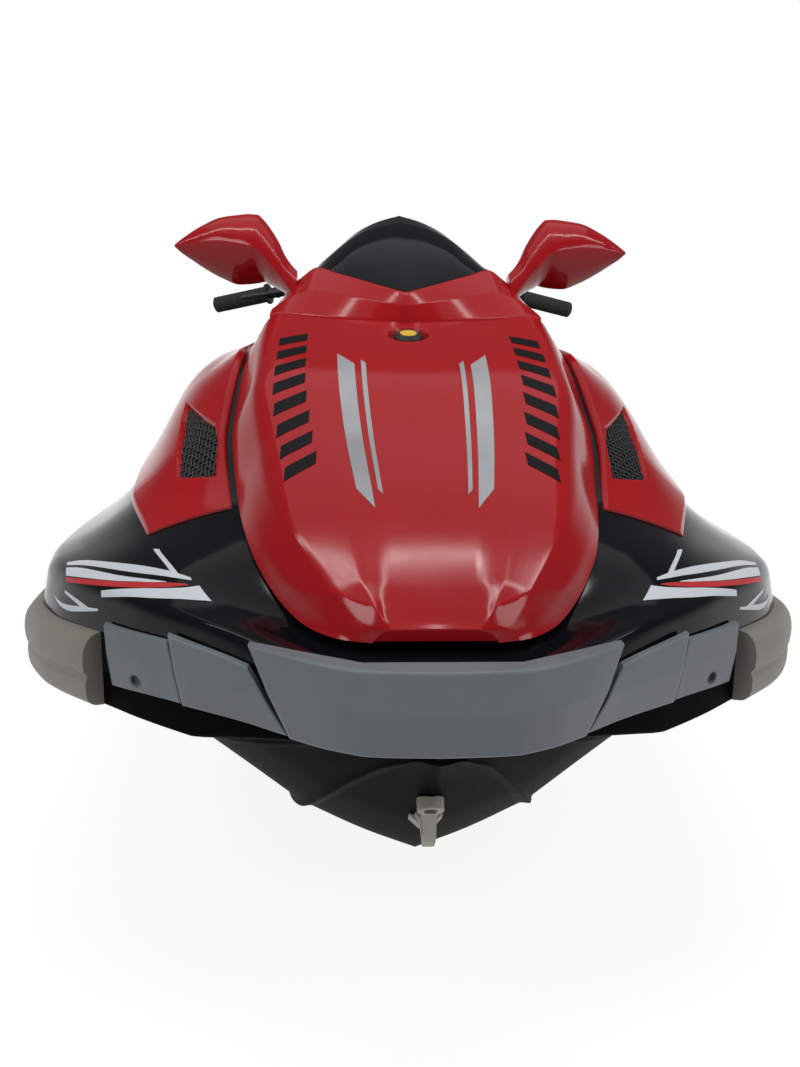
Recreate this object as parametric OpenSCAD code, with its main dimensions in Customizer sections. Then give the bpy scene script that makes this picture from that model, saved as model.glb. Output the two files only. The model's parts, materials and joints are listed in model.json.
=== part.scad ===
// Sit-down personal watercraft, three seats, water-jet drive.
// Millimetres. +X towards the bow, +Y to port, +Z up, origin amidships on the waterline.

/* [Lines] */
// Length that the lines plan is drawn to, stern to the bumper's nose
craft_length = 3300; // [3000:10:3700]
// Beam over the bond line, inside the rail
beam = 1166; // [1040:2:1320]
// Depth of the keel below the waterline
draught = 280; // [240:2:330]
// Height of the cowl's highest corners above the waterline
topside_height = 733; // [640:1:860]

/* [Bond line and rail] */
// Gap between hull and deck along the bond line
bond_gap = 0.5; // [0.3:0.1:0.8]
// Width of the bond flange
flange_width = 45; // [30:1:60]
// How far the rail stands out from the bond line
rail_depth = 28; // [20:1:40]
// Height of the rail
rail_height = 98; // [80:1:120]

/* [Bow bumper] */
// Height of the bumper plates
bumper_height = 96; // [70:1:120]
// How far each plate's trailing edge stands proud of the next plate
bumper_step = 8; // [4:0.5:12]
// Diameter of the screw well in each outer plate
bumper_hole = 16; // [10:1:24]

/* [Hood and cowl] */
// Wall of the hood's moulding
hood_wall = 9; // [6:0.5:14]
// Gap between the hood and the deck or cowl
hood_gap = 6; // [5:0.5:10]
// Thickness of the side panels
panel_wall = 12; // [8:0.5:18]
// Thickness of the windscreen
screen_wall = 5; // [4:0.5:8]
// Diameter of the hood's hinge pins
hinge_pin = 8; // [6:0.5:10]
// Diameter of the hood's latch knob
knob_diameter = 48; // [38:1:58]

/* [Storage bin] */
// Length of the bin's mouth
bin_length = 330; // [260:5:400]
// Width of the bin's mouth
bin_width = 340; // [280:5:410]
// Depth of the bin below its front rim
bin_depth = 175; // [140:5:210]
// Wall of the bin
bin_wall = 6; // [4:0.5:10]

/* [Steering] */
// Rake of the steering axis, back from the vertical
steering_rake = 24; // [19:0.5:29]
// Diameter of the handlebar tube
bar_diameter = 22; // [18:0.5:27]
// Diameter of a grip
grip_diameter = 34; // [28:0.5:41]
// Length of a grip
grip_length = 130; // [100:1:155]
// Diameter of the steering shaft
stem_diameter = 30; // [24:1:36]

/* [Seat] */
// Height of the front saddle over its base
saddle_height = 150; // [110:2:190]
// Height of the rear seat over its base
rear_seat_height = 205; // [160:2:250]
// Diameter of the passenger's grab handle
grab_diameter = 32; // [26:1:40]

/* [Jet pump] */
// Bore of the pump
pump_bore = 158; // [130:1:190]
// Wall of the pump housing
pump_wall = 12; // [8:0.5:16]
// Gap between the impeller's blades and the bore
impeller_gap = 5; // [5:0.5:8]
// Diameter of the impeller's hub
hub_diameter = 62; // [50:1:76]
// Diameter of the drive shaft
shaft_diameter = 28; // [22:0.5:34]
// Bore of the jet at the reduction nozzle's exit
jet_bore = 84; // [70:1:100]
// Diameter of the nozzle and bucket pivot pins
pivot_pin = 12; // [9:0.5:15]

/* [Fittings] */
// Bore of the bow tow eye
tow_bore = 22; // [18:1:27]
// Bore of the stern eyes
stern_eye_bore = 18; // [14:1:22]

/* [Hidden] */
$fn = 48;
run_gap = 0.05; // radial clearance of a pin in its bore
seat_gap = 0.4; // clearance of a piece lying on another
part_gap = 5; // clearance between moving pieces and others

// The lines plan is drawn for these sizes and carried to the ones above
plan_length = 3300;
plan_half_beam = 583;
plan_draught = 280;
plan_topside = 733;
function lx(x) = x * craft_length / plan_length;
function ly(y) = y * beam / 2 / plan_half_beam;
function lz(z) = z < 0 ? z * draught / plan_draught : z * topside_height / plan_topside;
function lp(p) = [lx(p[0]), ly(p[1]), lz(p[2])];

// Smooth curves through tables

// Slope between rows i and i+1 of column c
function slope(tab, c, i) = (tab[i + 1][c] - tab[i][c]) / (tab[i + 1][0] - tab[i][0]);
// Tangent at row i that never overshoots its neighbours
function tangent(tab, c, i) =
    i == 0 ? slope(tab, c, 0) :
    i == len(tab) - 1 ? slope(tab, c, i - 1) :
    let (a = slope(tab, c, i - 1), b = slope(tab, c, i)) a * b <= 0 ? 0 : 2 * a * b / (a + b);
// Column c of a table at x, on a cubic through its rows
function at(tab, c, x) =
    let (i = max([for (k = [0 : len(tab) - 2]) tab[k][0] <= x ? k : 0]),
         h = tab[i + 1][0] - tab[i][0],
         t = min(max((x - tab[i][0]) / h, 0), 1),
         a = tangent(tab, c, i) * h, b = tangent(tab, c, i + 1) * h)
    tab[i][c] * (2 * t * t * t - 3 * t * t + 1) + a * (t * t * t - 2 * t * t + t)
    + tab[i + 1][c] * (3 * t * t - 2 * t * t * t) + b * (t * t * t - t * t);

// Polylines and lofts

function unit(v) = v / norm(v);
function clamp(t) = min(max(t, 0), 1);
// Polyline whose inner corners are rounded over the lengths in r, with n steps each; 0 keeps a corner
function soft(pts, r, n) = [for (i = [0 : len(pts) - 1]) each
    i == 0 || i == len(pts) - 1 || r[i] == 0 ? [pts[i]] :
    let (p = pts[i], a = pts[i - 1] - p, b = pts[i + 1] - p,
         s = p + unit(a) * min(r[i], norm(a) * 0.45), e = p + unit(b) * min(r[i], norm(b) * 0.45))
    [for (k = [0 : n]) let (t = k / n) s * (1 - t) * (1 - t) + p * 2 * t * (1 - t) + e * t * t]];
// Closed section from its port half, which runs from the bottom centre outwards to the top centre
function both_sides(half) = concat(half, [for (i = [len(half) - 2 : -1 : 1]) [-half[i][0], half[i][1]]]);
function reverse(list) = [for (i = [len(list) - 1 : -1 : 0]) list[i]];
// Polyline moved by d to the right of its direction
function beside(pts, d) = [for (i = [0 : len(pts) - 1])
    let (t = unit(pts[min(i + 1, len(pts) - 1)] - pts[max(i - 1, 0)])) pts[i] + d * [t[1], -t[0]]];
// n+1 even steps from a to b
function steps(a, b, n) = [for (i = [0 : n]) a + (b - a) * i / n];
// Solid through closed loops of equal length, each anticlockwise seen from the last loop's end. The second half
// of a loop mirrors the first one's diagonals, and columns from turn on have theirs the other way.
module loft(loops, turn = 1000) {
    n = len(loops[0]);
    m = len(loops);
    polyhedron(
        [for (loop = loops) each loop],
        concat([[for (j = [0 : n - 1]) j]],
            [for (i = [0 : m - 2], j = [0 : n - 1], half = [0, 1])
                let (k = (j + 1) % n, a = i * n + j, b = i * n + k, c = a + n, d = b + n)
                (j < n / 2) != (min(j, n - 1 - j) >= turn)
                    ? (half == 0 ? [a, c, d] : [a, d, b]) : (half == 0 ? [a, c, b] : [b, c, d])],
            [[for (j = [n - 1 : -1 : 0]) (m - 1) * n + j]]));
}
// Loft of sections that lie across X: each row is [x, loop of [y, z]]
module loft_x(rows, turn = 1000) { loft([for (row = rows) [for (p = row[1]) [row[0], p[0], p[1]]]], turn); }
// Loft of sections that lie across Y: each row is [y, loop of [x, z]]
module loft_y(rows) { loft([for (row = rows) [for (p = row[1]) [p[0], row[0], p[1]]]]); }
module port_and_starboard() {
    children();
    mirror([0, 1, 0]) children();
}
// Round bar from p to q, or from start to end along that line
module rod(p, q, d, start = 0, end = -1) {
    v = q - p;
    reach = end < 0 ? norm(v) : end;
    translate(p) rotate([0, acos(v[2] / norm(v)), atan2(v[1], v[0])])
        translate([0, 0, start]) cylinder(d = d, h = reach - start);
}
module along_x(x, z) { translate([x, 0, z]) rotate([0, 90, 0]) children(); }
// Cylinder along Y between two y values
module along_y(x, y0, y1, z, d) { translate([x, y0, z]) rotate([-90, 0, 0]) cylinder(d = d, h = y1 - y0); }

// Hull lines: station, keel z, chine y, chine z, bond y, bond z
KEEL_Z = 1; CHINE_Y = 2; CHINE_Z = 3; BOND_Y = 4; BOND_Z = 5;
hull_lines = [
    [-1610, -268, 418, -108, 455, 125],
    [-1595, -268, 434, -108, 492, 125],
    [-1560, -270, 446, -109, 522, 125],
    [-1450, -274, 455, -110, 550, 126],
    [-900, -280, 470, -112, 574, 128],
    [-100, -280, 472, -104, 583, 134],
    [500, -274, 448, -74, 583, 144],
    [900, -240, 395, -20, 573, 160],
    [1150, -176, 336, 28, 550, 172],
    [1250, -132, 300, 55, 508, 178],
    [1390, -24, 226, 104, 386, 188],
    [1470, 50, 166, 136, 291, 190],
    [1550, 122, 96, 166, 178, 192],
    [1605, 165, 40, 182, 84, 193]];
function hull_col(c, x) = at(hull_lines, c, x * plan_length / craft_length);
function keel_z(x) = lz(hull_col(KEEL_Z, x));
function chine_y(x) = ly(hull_col(CHINE_Y, x));
function chine_z(x) = lz(hull_col(CHINE_Z, x));
function bond_y(x) = ly(hull_col(BOND_Y, x));
function bond_z(x) = lz(hull_col(BOND_Z, x));
rail_down = rail_height * 0.46;
rail_up = rail_height - rail_down;
bow_x = lx(1605);
stern_x = lx(-1610);
stations = concat([for (x = [-1610, -1604, -1595, -1580, -1560, -1500, -1400, -1300, -1240]) lx(x)],
    steps(lx(-1200), lx(-1020), 5), steps(lx(-900), lx(300), 6), steps(lx(365), lx(690), 8),
    steps(lx(740), lx(1550), 15), [lx(1580), bow_x]);
function between(a, b) = [for (x = stations) if (x > a - 0.01 && x < b + 0.01) x];

// Well between the bond flanges: station, drop below the bond line
well_lines = [[-1610, 20], [-1140, 24], [-1040, 92], [700, 92], [1100, 70], [1450, 20], [1605, 12]];
function well_z(x) = bond_z(x) - at(well_lines, 1, x * plan_length / craft_length);
function flange(x) = min(flange_width, bond_y(x) * 0.4);
flange_slope = 15;
well_crown = 1;

// Half section of the hull: V bottom with a lifting strake, hard chine, flared topside, bond flange
strake_at = 0.52;
strake_width = 16;
strake_drop = 10;
bottom_hollow = 26;
chine_rise = 8;
// Foot of the upright side behind the rail
function side_low(x) = max(bond_z(x) - rail_down, chine_z(x) + chine_rise);
function topside_knee(x) = [chine_y(x) + (bond_y(x) - chine_y(x)) * 0.42,
    chine_z(x) + (side_low(x) - chine_z(x)) * 0.55];
function hull_half(x) =
    let (k = keel_z(x), cy = chine_y(x), cz = chine_z(x), by = bond_y(x), bz = bond_z(x),
         s = (cz - k) / cy, sy = strake_at * cy, w = min(strake_width, cy * 0.2),
         sag = min(bottom_hollow, cy * 0.09), d = min(strake_drop, cy * 0.05))
    [[0, k], [sy * 0.5, k + s * sy * 0.5 - sag * 0.7], [sy, k + s * sy - sag],
     [sy + w, k + s * sy - sag - d * 0.2], [sy + w, k + s * sy - sag + d],
     [cy * 0.8, k + s * cy * 0.8 - sag * 0.5], [cy - w * 0.6, cz - d], [cy, cz - d * 0.5],
     [cy + 3, cz + d * 0.3],
     topside_knee(x), [by - 7, side_low(x) - 2], [by, side_low(x)], [by, bz],
     [by - flange(x), bz], [by - flange(x) - flange_slope, well_z(x)], [0, well_z(x) + well_crown]];
CHINE_AT = 8;
BOND_AT = 12;
// Hull between two stations, drawn on aft of the first by a tail that the transom's cut takes off
module hull_solid(a, b, tail = 0)
    loft_x(concat(tail > 0 ? [[a - tail, both_sides(hull_half(a))]] : [],
        [for (x = between(a, b)) [x, both_sides(hull_half(x))]]), BOND_AT);
transom_tail = 20;

// Jet drive places, forward from the stern
pump_z = lz(-115);
housing_diameter = pump_bore + 2 * pump_wall;
tunnel_width = housing_diameter + 140;
tunnel_length = 460;
tunnel_x = stern_x + tunnel_length;
intake_length = 430;
intake_width = pump_bore + 12;
engine_length = 600;
engine_width = 320;
engine_top = lz(220);
engine_x = lx(-540);
engine_z = lz(-180);
bay_room = 12;
stuffing_gap = 3;
below_keel = lz(-320);

module hull_shell() color("#101214") difference() {
    hull_solid(stern_x, bow_x, transom_tail);
    translate([stern_x - 2 * transom_tail, -beam, below_keel]) cube([2 * transom_tail, 2 * beam, beam]);
    pump_tunnel();
    intake_duct();
    engine_bay();
    along_x(tunnel_x + 10, pump_z)
        cylinder(d = shaft_diameter + 2 * stuffing_gap, h = engine_x - tunnel_x - 10);
}
// Recess at the stern that the jet pump stands in, open aft and below, with an arched roof
module pump_tunnel() {
    r = tunnel_width / 2;
    translate([stern_x - 2 * transom_tail, 0, 0]) rotate([90, 0, 90])
        linear_extrude(tunnel_length + 2 * transom_tail)
        polygon(concat([[-r, below_keel], [r, below_keel]],
            [for (a = [0 : 15 : 180]) [r * cos(a), pump_z + r * sin(a)]]));
}
// Water way from the slot in the bottom up to the pump
module intake_duct() hull() {
    along_x(tunnel_x - 1, pump_z) cylinder(d = pump_bore, h = 19, $fn = 32);
    translate([tunnel_x + 40, -intake_width / 2, below_keel]) cube([intake_length - 40, intake_width, 1]);
}
module engine_bay()
    translate([engine_x - bay_room, -engine_width / 2 - bay_room, engine_z])
        cube([engine_length + 2 * bay_room, engine_width + 2 * bay_room, engine_top - engine_z + bay_room]);
coupling_depth = 40;
module engine() color("#6b7075") difference() {
    translate([engine_x, -engine_width / 2, engine_z + seat_gap])
        cube([engine_length, engine_width, engine_top - engine_z - seat_gap]);
    along_x(engine_x - 1, pump_z) cylinder(d = shaft_diameter + 2 * run_gap, h = coupling_depth + 1);
}

// Deck lines: station, top z, then y and z of the pedestal's edge, the pedestal's foot, the footwell's
// outer corner and the coaming, then the shoulder crease's inset from the bond line and its z.
// Ahead of the footwells the same points run over the hood's rim, the side panel and the shoulder.
TOP_Z = 1; EDGE_Y = 2; EDGE_Z = 3; FOOT_Y = 4; FOOT_Z = 5; OUT_Y = 6; OUT_Z = 7; COAM_Y = 8; COAM_Z = 9;
CREASE_IN = 10; CREASE_Z = 11;
deck_lines = [
    [-1610, 178, 140, 177.2, 175, 176.6, 340, 172.5, 400, 171, 16, 169],
    [-1560, 180, 140, 179.2, 175, 178.6, 400, 173, 460, 172.5, 18, 171],
    [-1450, 182, 140, 181.2, 180, 180.4, 432, 176, 484, 178, 20, 175],
    [-1240, 186, 140, 185.2, 190, 184.3, 435, 180, 495, 185, 20, 179],
    [-1160, 400, 150, 396, 205, 182, 440, 176, 500, 192, 19, 186],
    [-1020, 405, 158, 400, 222, 84, 450, 80, 508, 207, 18, 199],
    [-850, 404, 160, 398, 226, 58, 455, 56, 516, 213, 16, 206],
    [0, 385, 162, 380, 228, 56, 455, 56, 528, 228, 12, 220],
    [300, 390, 165, 385, 230, 60, 452, 60, 528, 238, 11, 230],
    [430, 500, 175, 494, 240, 66, 446, 66, 526, 248, 10, 240],
    [520, 575, 205, 568, 270, 110, 440, 110, 520, 258, 9, 250],
    [640, 598, 248, 592, 345, 560, 425, 440, 500, 322, 8, 264],
    [760, 590, 266, 586, 368, 540, 432, 420, 500, 326, 6, 274],
    [850, 582, 272, 582, 374, 508, 436, 398, 500, 322, 4, 278],
    [1050, 474, 282, 474, 352, 440, 424, 366, 490, 316, 4, 282],
    [1200, 388, 262, 388, 318, 372, 380, 346, 440, 314, 14, 286],
    [1350, 336, 228, 336, 272, 332, 318, 322, 358, 308, 18, 290],
    [1470, 270, 158, 270, 190, 278, 220, 285, 244, 287, 18, 286],
    [1550, 258, 84, 258, 102, 261, 124, 265, 140, 267, 16, 266],
    [1605, 253, 30, 252, 40, 253, 50, 254.5, 58, 254, 14, 252]];
function deck_col(c, x) = at(deck_lines, c, x * plan_length / craft_length);
function deck_y(c, x) = ly(deck_col(c, x));
function deck_z(c, x) = lz(deck_col(c, x));
corner_steps = 3;
rim_round = 12;
// Half section of the deck, from its underside out to the bond flange and up to the top centre
function deck_half(x) =
    let (by = bond_y(x), bz = bond_z(x) + bond_gap, wz = well_z(x) + bond_gap)
    soft([[0, wz + well_crown], [by - flange(x) - flange_slope, wz], [by - flange(x), bz], [by, bz],
          [by, min(bz + rail_up, deck_z(CREASE_Z, x) - 2)],
          [by - deck_col(CREASE_IN, x), deck_z(CREASE_Z, x)], [deck_y(COAM_Y, x), deck_z(COAM_Z, x)],
          [deck_y(OUT_Y, x), deck_z(OUT_Z, x)], [deck_y(FOOT_Y, x), deck_z(FOOT_Z, x)],
          [deck_y(EDGE_Y, x), deck_z(EDGE_Z, x)], [0, deck_z(TOP_Z, x)]],
         [0, 0, 0, 0, 0, 16, 34, 46, 46, rim_round, 0], corner_steps);
// Places of the rounded corners in that half section
OUT_AT = 5 + 2 * (corner_steps + 1);
RIM_AT = OUT_AT + 2 * (corner_steps + 1);
// Solid under the deck's top between two stations, lifted by a gap, to seat pieces on it
module deck_top(a, b, lift)
    loft_x([for (x = between(a, b)) [x, both_sides([[0, 0], [deck_y(EDGE_Y, x), 0],
        [deck_y(EDGE_Y, x), deck_z(EDGE_Z, x) + lift], [0, deck_z(TOP_Z, x) + lift]])]]);

// Storage bin under the hood
bin_x = lx(1085);
bin_corner = 40;
bin_floor = lz(366) - bin_depth;
module bin_outline(grow) {
    flat_l = bin_length - 2 * bin_corner;
    flat_w = bin_width - 2 * bin_corner;
    for (sx = [-1, 1], sy = [-1, 1])
        translate([bin_x + sx * flat_l / 2, sy * flat_w / 2]) circle(bin_corner + grow);
    translate([bin_x, 0]) square([bin_length + 2 * grow, flat_w], center = true);
    translate([bin_x, 0]) square([flat_l, bin_width + 2 * grow], center = true);
}
module bin_block(grow, z) { translate([0, 0, z]) linear_extrude(lz(700)) bin_outline(grow); }

module deck() color("#14161a") difference() {
    loft_x([for (x = stations) [x, both_sides(deck_half(x))]]);
    bin_block(0, bin_floor);
    engine_bay();
}
module storage_bin() color("#222428") difference() {
    intersection() {
        bin_block(-seat_gap, bin_floor + seat_gap);
        deck_top(lx(740), lx(1450), 0);
    }
    bin_block(-seat_gap - bin_wall, bin_floor + seat_gap + bin_wall);
}

// Rail: outline as share of its depth and of its height, from the bottom round the nose to the top
rail_shape = [[0, 0], [0.62, 0.03], [0.9, 0.16], [0.9, 0.36], [0.8, 0.42], [0.8, 0.46], [0.95, 0.5],
    [1, 0.66], [0.9, 0.84], [0.55, 0.97], [0, 1]];
// Plan normal of the bond line, pointing outboard on the port side
function bond_normal(x) =
    let (a = max(x - 2, stern_x), b = min(x + 2, bow_x)) unit([bond_y(a) - bond_y(b), b - a]);
rail_end = lx(1362);
// Port half of the rail's path from the stern's centre forward: point of the bond line, outboard normal
rail_path = concat([for (y = [0, 0.5]) [[stern_x, y * bond_y(stern_x), bond_z(stern_x)], [-1, 0]]],
    [for (x = concat(between(stern_x, rail_end - 10), [rail_end])) [[x, bond_y(x), bond_z(x)],
        x == stern_x ? unit(bond_normal(x) + [-1, 0]) : bond_normal(x)]]);
function mirrored(row) = [[row[0][0], -row[0][1], row[0][2]], [row[1][0], -row[1][1]]];
module gunwale_rail() color("#7d7a72")
    loft([for (row = concat([for (i = [len(rail_path) - 1 : -1 : 1]) mirrored(rail_path[i])], rail_path))
        [for (p = rail_shape) let (d = seat_gap + p[0] * rail_depth)
            [row[0][0] + row[1][0] * d, row[0][1] + row[1][1] * d,
             row[0][2] - rail_down + p[1] * rail_height]]]);

// Bow bumper: y, then the plates' face x in plan and their foot and top z
FACE_X = 1; FOOT_AT = 2; TOP_AT = 3;
bumper_lines = [
    [0, 1650, 186, 282], [60, 1645, 186, 282], [115, 1626, 186, 282], [165, 1592, 187, 282],
    [209, 1555, 187, 281], [311, 1474, 184, 268], [403, 1396, 178, 256], [450, 1352, 174, 250]];
plan_bumper_height = 96;
function bumper_col(c, y) = at(bumper_lines, c, y * plan_half_beam / beam * 2);
// Plates of one side: y where the plate's top starts and ends, how far each end leans inboard at the foot,
// and how far its top falls towards the plate before it
PLATE_IN = 0; PLATE_OUT = 1; LEAN_IN = 2; LEAN_OUT = 3; TOP_FALL = 4;
plates = [[0, 208, 0, 46, 0], [208, 310, 46, 16, 27], [310, 404, 16, 8, 9]];
bumper_edge = 7;
bumper_butt = 1;
// Height of the crease along the plates, and how far their face falls back from it, as shares
crease_at = 0.54;
fall_low = 0.35;
fall_high = 0.25;
// Largest edge break as a share of the plates' depth
edge_share = 0.25;
// Back of the plates: the bond line's y and x from the nose outwards
bow_back = concat([[0, bow_x]], [for (i = [len(stations) - 1 : -1 : 0])
    if (stations[i] > lx(1200)) [bond_y(stations[i]), stations[i]]]);
function back_x(y) = lookup(y, bow_back);
function plate_ys(a, b) = concat([a], [for (p = bow_back) if (p[0] > a + 4 && p[0] < b - 4) p[0]], [b]);
function plate_section(y, set_in, fall) =
    let (back = back_x(max(y - seat_gap, 0)) + seat_gap, face = lx(bumper_col(FACE_X, y)) - set_in,
         foot = lz(bumper_col(FOOT_AT, y)), deep = face - back, e = min(bumper_edge, deep * edge_share),
         top = foot + (lz(bumper_col(TOP_AT, y)) - foot) * bumper_height / plan_bumper_height - fall,
         low = face - fall_low * deep, high = face - fall_high * deep)
    [[low - e, foot], [back, foot], [back, top], [high - e, top], [high, top - e],
     [face, foot + (top - foot) * crease_at], [low, foot + e]];
function mirror_rows(rows) = concat([for (i = [len(rows) - 1 : -1 : 1]) [-rows[i][0], rows[i][1]]], rows);
// Band of the bumper from y = a to b and a little beyond, set in and falling towards the plate before it
module bumper_band(a, b, fall) {
    rows = [for (y = plate_ys(max(a - 60, 0), b + 20)) let (t = a > 0 ? clamp((b - y) / (b - a)) : 0)
        [y, plate_section(y, bumper_step * t, fall * t)]];
    loft_y(a > 0 ? rows : mirror_rows(rows));
}
// Front view of a plate's outline, from well below its foot to well above its top
plate_low = 150;
plate_high = 320;
function lean_at(l, z) = l * (z - 281) / 95;
module plate_outline(row) {
    a = row[PLATE_IN] + (row[PLATE_IN] > 0 ? bumper_butt : 0);
    outer = [for (z = [plate_high, plate_low]) [ly(row[PLATE_OUT] + lean_at(row[LEAN_OUT], z)), lz(z)]];
    inner = [for (z = [plate_low, plate_high])
        [row[PLATE_IN] > 0 ? ly(a + lean_at(row[LEAN_IN], z))
            : -ly(row[PLATE_OUT] + lean_at(row[LEAN_OUT], z)), lz(z)]];
    polygon(concat(outer, inner));
}
module plate(row) intersection() {
    bumper_band(ly(row[PLATE_IN]), ly(row[PLATE_OUT]), row[TOP_FALL]);
    translate([lx(1100), 0, 0]) rotate([90, 0, 90]) linear_extrude(lx(700)) plate_outline(row);
}
bumper_grey = "#5f676e";
module bumper_centre() color(bumper_grey) plate(plates[0]);
module bumper_port() color(bumper_grey) {
    plate(plates[1]);
    difference() {
        plate(plates[2]);
        translate([lx(1380), ly(352), lz(204)]) rotate([0, 90, 48]) cylinder(d = bumper_hole, h = 100);
    }
}
module bumper_starboard() mirror([0, 1, 0]) bumper_port();

// Bow tow eye, a cast bridge along the stem: an upper boss with a screw, a narrow bridge and a flared foot
eye_x = lx(1454);
eye_z = keel_z(eye_x);
stem_slope = atan2(keel_z(eye_x + 40) - keel_z(eye_x - 40), 80);
eye_wall = 11;
eye_stand = tow_bore / 2 + 9;
eye_out = eye_stand + tow_bore / 2 + eye_wall;
eye_width = 16;
eye_root = 30;
// Side view of the bridge: place along the stem, distance out from it
eye_profile = [[-46, 4], [-34, 16], [-14, eye_out], [12, eye_out], [36, 20], [58, 12]];
boss_diameter = 33;
boss_at = 46;
boss_out = 15;
boss_recess = 15;
slot_width = 4;
recess_depth = 5;
foot_at = -50;
foot_width = 44;
foot_out = 11;
foot_length = 22;
toe_length = 12;
toe_share = 0.66;
// Front view of the foot at a half width, gabled like the stem
module foot_run(from, length, half) translate([from, 0, 0]) rotate([90, 0, 90]) linear_extrude(length)
    polygon([[-half, eye_root], [-half, half * 0.1], [-eye_width / 2, -foot_out], [eye_width / 2, -foot_out],
        [half, half * 0.1], [half, eye_root]]);
module tow_eye() color("#d8d5cc") difference() {
    translate([eye_x, 0, eye_z]) rotate([0, -stem_slope, 0]) difference() {
        union() {
            translate([0, eye_width / 2, 0]) rotate([90, 0, 0]) linear_extrude(eye_width)
                polygon(concat([[eye_profile[0][0], eye_root]], [for (p = eye_profile) [p[0], -p[1]]],
                    [[eye_profile[len(eye_profile) - 1][0], eye_root]]));
            translate([boss_at, 0, -boss_out]) cylinder(d = boss_diameter, h = boss_out + eye_root);
            foot_run(foot_at, foot_length, foot_width / 2);
            foot_run(foot_at + foot_length, toe_length, foot_width / 2 * toe_share);
        }
        translate([0, eye_root, -eye_stand]) rotate([90, 0, 0]) cylinder(d = tow_bore, h = 2 * eye_root);
        translate([boss_at, 0, -boss_out - 1]) cylinder(d = boss_recess, h = recess_depth + 1);
        translate([boss_at - boss_recess / 2, -slot_width / 2, -boss_out - 1])
            cube([boss_recess, slot_width, 2 * recess_depth]);
    }
    translate([seat_gap * sin(stem_slope), 0, -seat_gap * cos(stem_slope)]) hull_solid(lx(1300), bow_x);
}

// Hood: station, centre z, crease y and z, shoulder y and z, skirt y
MID_Z = 1; FOLD_Y = 2; FOLD_Z = 3; SHOULDER_Y = 4; SHOULDER_Z = 5; SKIRT_Y = 6;
hood_lines = [
    [850, 634, 150, 640, 232, 650, 267],
    [1050, 560, 146, 563, 236, 557, 277],
    [1200, 482, 132, 485, 214, 471, 257],
    [1350, 408, 108, 409, 178, 392, 223],
    [1470, 330, 85, 331, 116, 318, 150],
    [1500, 308, 70, 308, 92, 300, 122],
    [1514, 297, 61, 297, 76, 292, 100],
    [1522, 292, 55, 291, 62, 288, 72]];
function hood_col(c, x) = at(hood_lines, c, x * plan_length / craft_length);
hood_rear = lx(850);
hood_tip = lx(1522);
lip_solid = lx(1470);
lip_from = lx(1400);
lip_lift = 8;
function skirt_z(x) = deck_z(EDGE_Z, x) + hood_gap + lip_lift * clamp((x - lip_from) / (hood_tip - lip_from));
lip_crown = 2;
// Underside of the hood below its outer face at z, as a share s of the way out to the skirt
function hood_under(x, z, s) =
    let (t = clamp((x - lip_solid) / lx(20)), lip = skirt_z(x) - lip_crown * (1 - s * s))
    max(z - hood_wall, skirt_z(x)) * (1 - t) + lip * t;
function hood_half(x) =
    let (c = lz(hood_col(MID_Z, x)), fy = ly(hood_col(FOLD_Y, x)), fz = lz(hood_col(FOLD_Z, x)),
         sy = ly(hood_col(SHOULDER_Y, x)), sz = lz(hood_col(SHOULDER_Z, x)),
         ey = ly(hood_col(SKIRT_Y, x)), ez = skirt_z(x))
    concat([[0, hood_under(x, c, 0)], [fy, hood_under(x, fz, fy / ey)],
            [sy - hood_wall * 0.6, hood_under(x, sz, sy / ey)], [ey - hood_wall * 1.2, ez]],
        soft([[ey, ez], [sy, sz], [fy, fz], [0, c]], [0, 26, 0, 0], corner_steps));
hinge_x = lx(1506);
hinge_z = skirt_z(hinge_x) + hinge_pin / 2 + 3;
hinge_y = ly(36);
hinge_half = ly(56);
lug_wall = 8;
lug_round = hinge_pin + 6;
lug_room = 1.5;
knob_x = lx(905);
knob_z = lz(hood_col(MID_Z, knob_x));
knob_tilt = -atan2(lz(hood_col(MID_Z, knob_x + 30)) - lz(hood_col(MID_Z, knob_x - 30)), 60);
cup_diameter = knob_diameter + 20;
cup_depth = 22;
cup_wall = 4;
module at_knob() { translate([knob_x, 0, knob_z]) rotate([0, knob_tilt, 0]) children(); }
hood_red = "#a5191e";
module hood() color(hood_red) difference() {
    loft_x([for (x = concat([hood_rear], between(hood_rear + 10, lx(1460)),
        [for (x = [1470, 1485, 1500, 1508, 1514, 1519]) lx(x)], [hood_tip])) [x, both_sides(hood_half(x))]]);
    at_knob() translate([0, 0, -60]) cylinder(d = cup_diameter + 2 * seat_gap, h = 90);
    along_y(hinge_x, -hinge_half - 2, hinge_half + 2, hinge_z, hinge_pin + 2 * run_gap);
    port_and_starboard() translate([hinge_x - 110, hinge_y - lug_wall / 2 - lug_room, skirt_z(hinge_x) - 60])
        cube([110 + lug_round / 2 + lug_room, lug_wall + 2 * lug_room,
              60 + hinge_z - skirt_z(hinge_x) + lug_round / 2 + lug_room]);
}
arm_length = 62;
arm_foot = 26;
module hood_hinges() color("#2a2c2f") {
    along_y(hinge_x, -hinge_half, hinge_half, hinge_z, hinge_pin);
    port_and_starboard() difference() {
        translate([0, hinge_y + lug_wall / 2, 0]) rotate([90, 0, 0]) linear_extrude(lug_wall) {
            translate([hinge_x, hinge_z]) circle(d = lug_round);
            translate([hinge_x - arm_length, hinge_z - lug_round / 2]) square([arm_length, lug_round * 0.6]);
            translate([hinge_x - arm_length, hinge_z - 40]) square([arm_foot, 40]);
        }
        deck_top(lx(1340), bow_x, seat_gap);
    }
}
module latch_cup() color(hood_red) at_knob() rotate_extrude()
    polygon([[0, -cup_depth], [cup_diameter / 2, -cup_depth], [cup_diameter / 2, 0], [cup_diameter / 2 - 3, 0],
        [knob_diameter / 2 + 1, -cup_depth + 8], [knob_diameter / 2 + 1, cup_wall - cup_depth],
        [0, cup_wall - cup_depth]]);
knob_height = 20;
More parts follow.
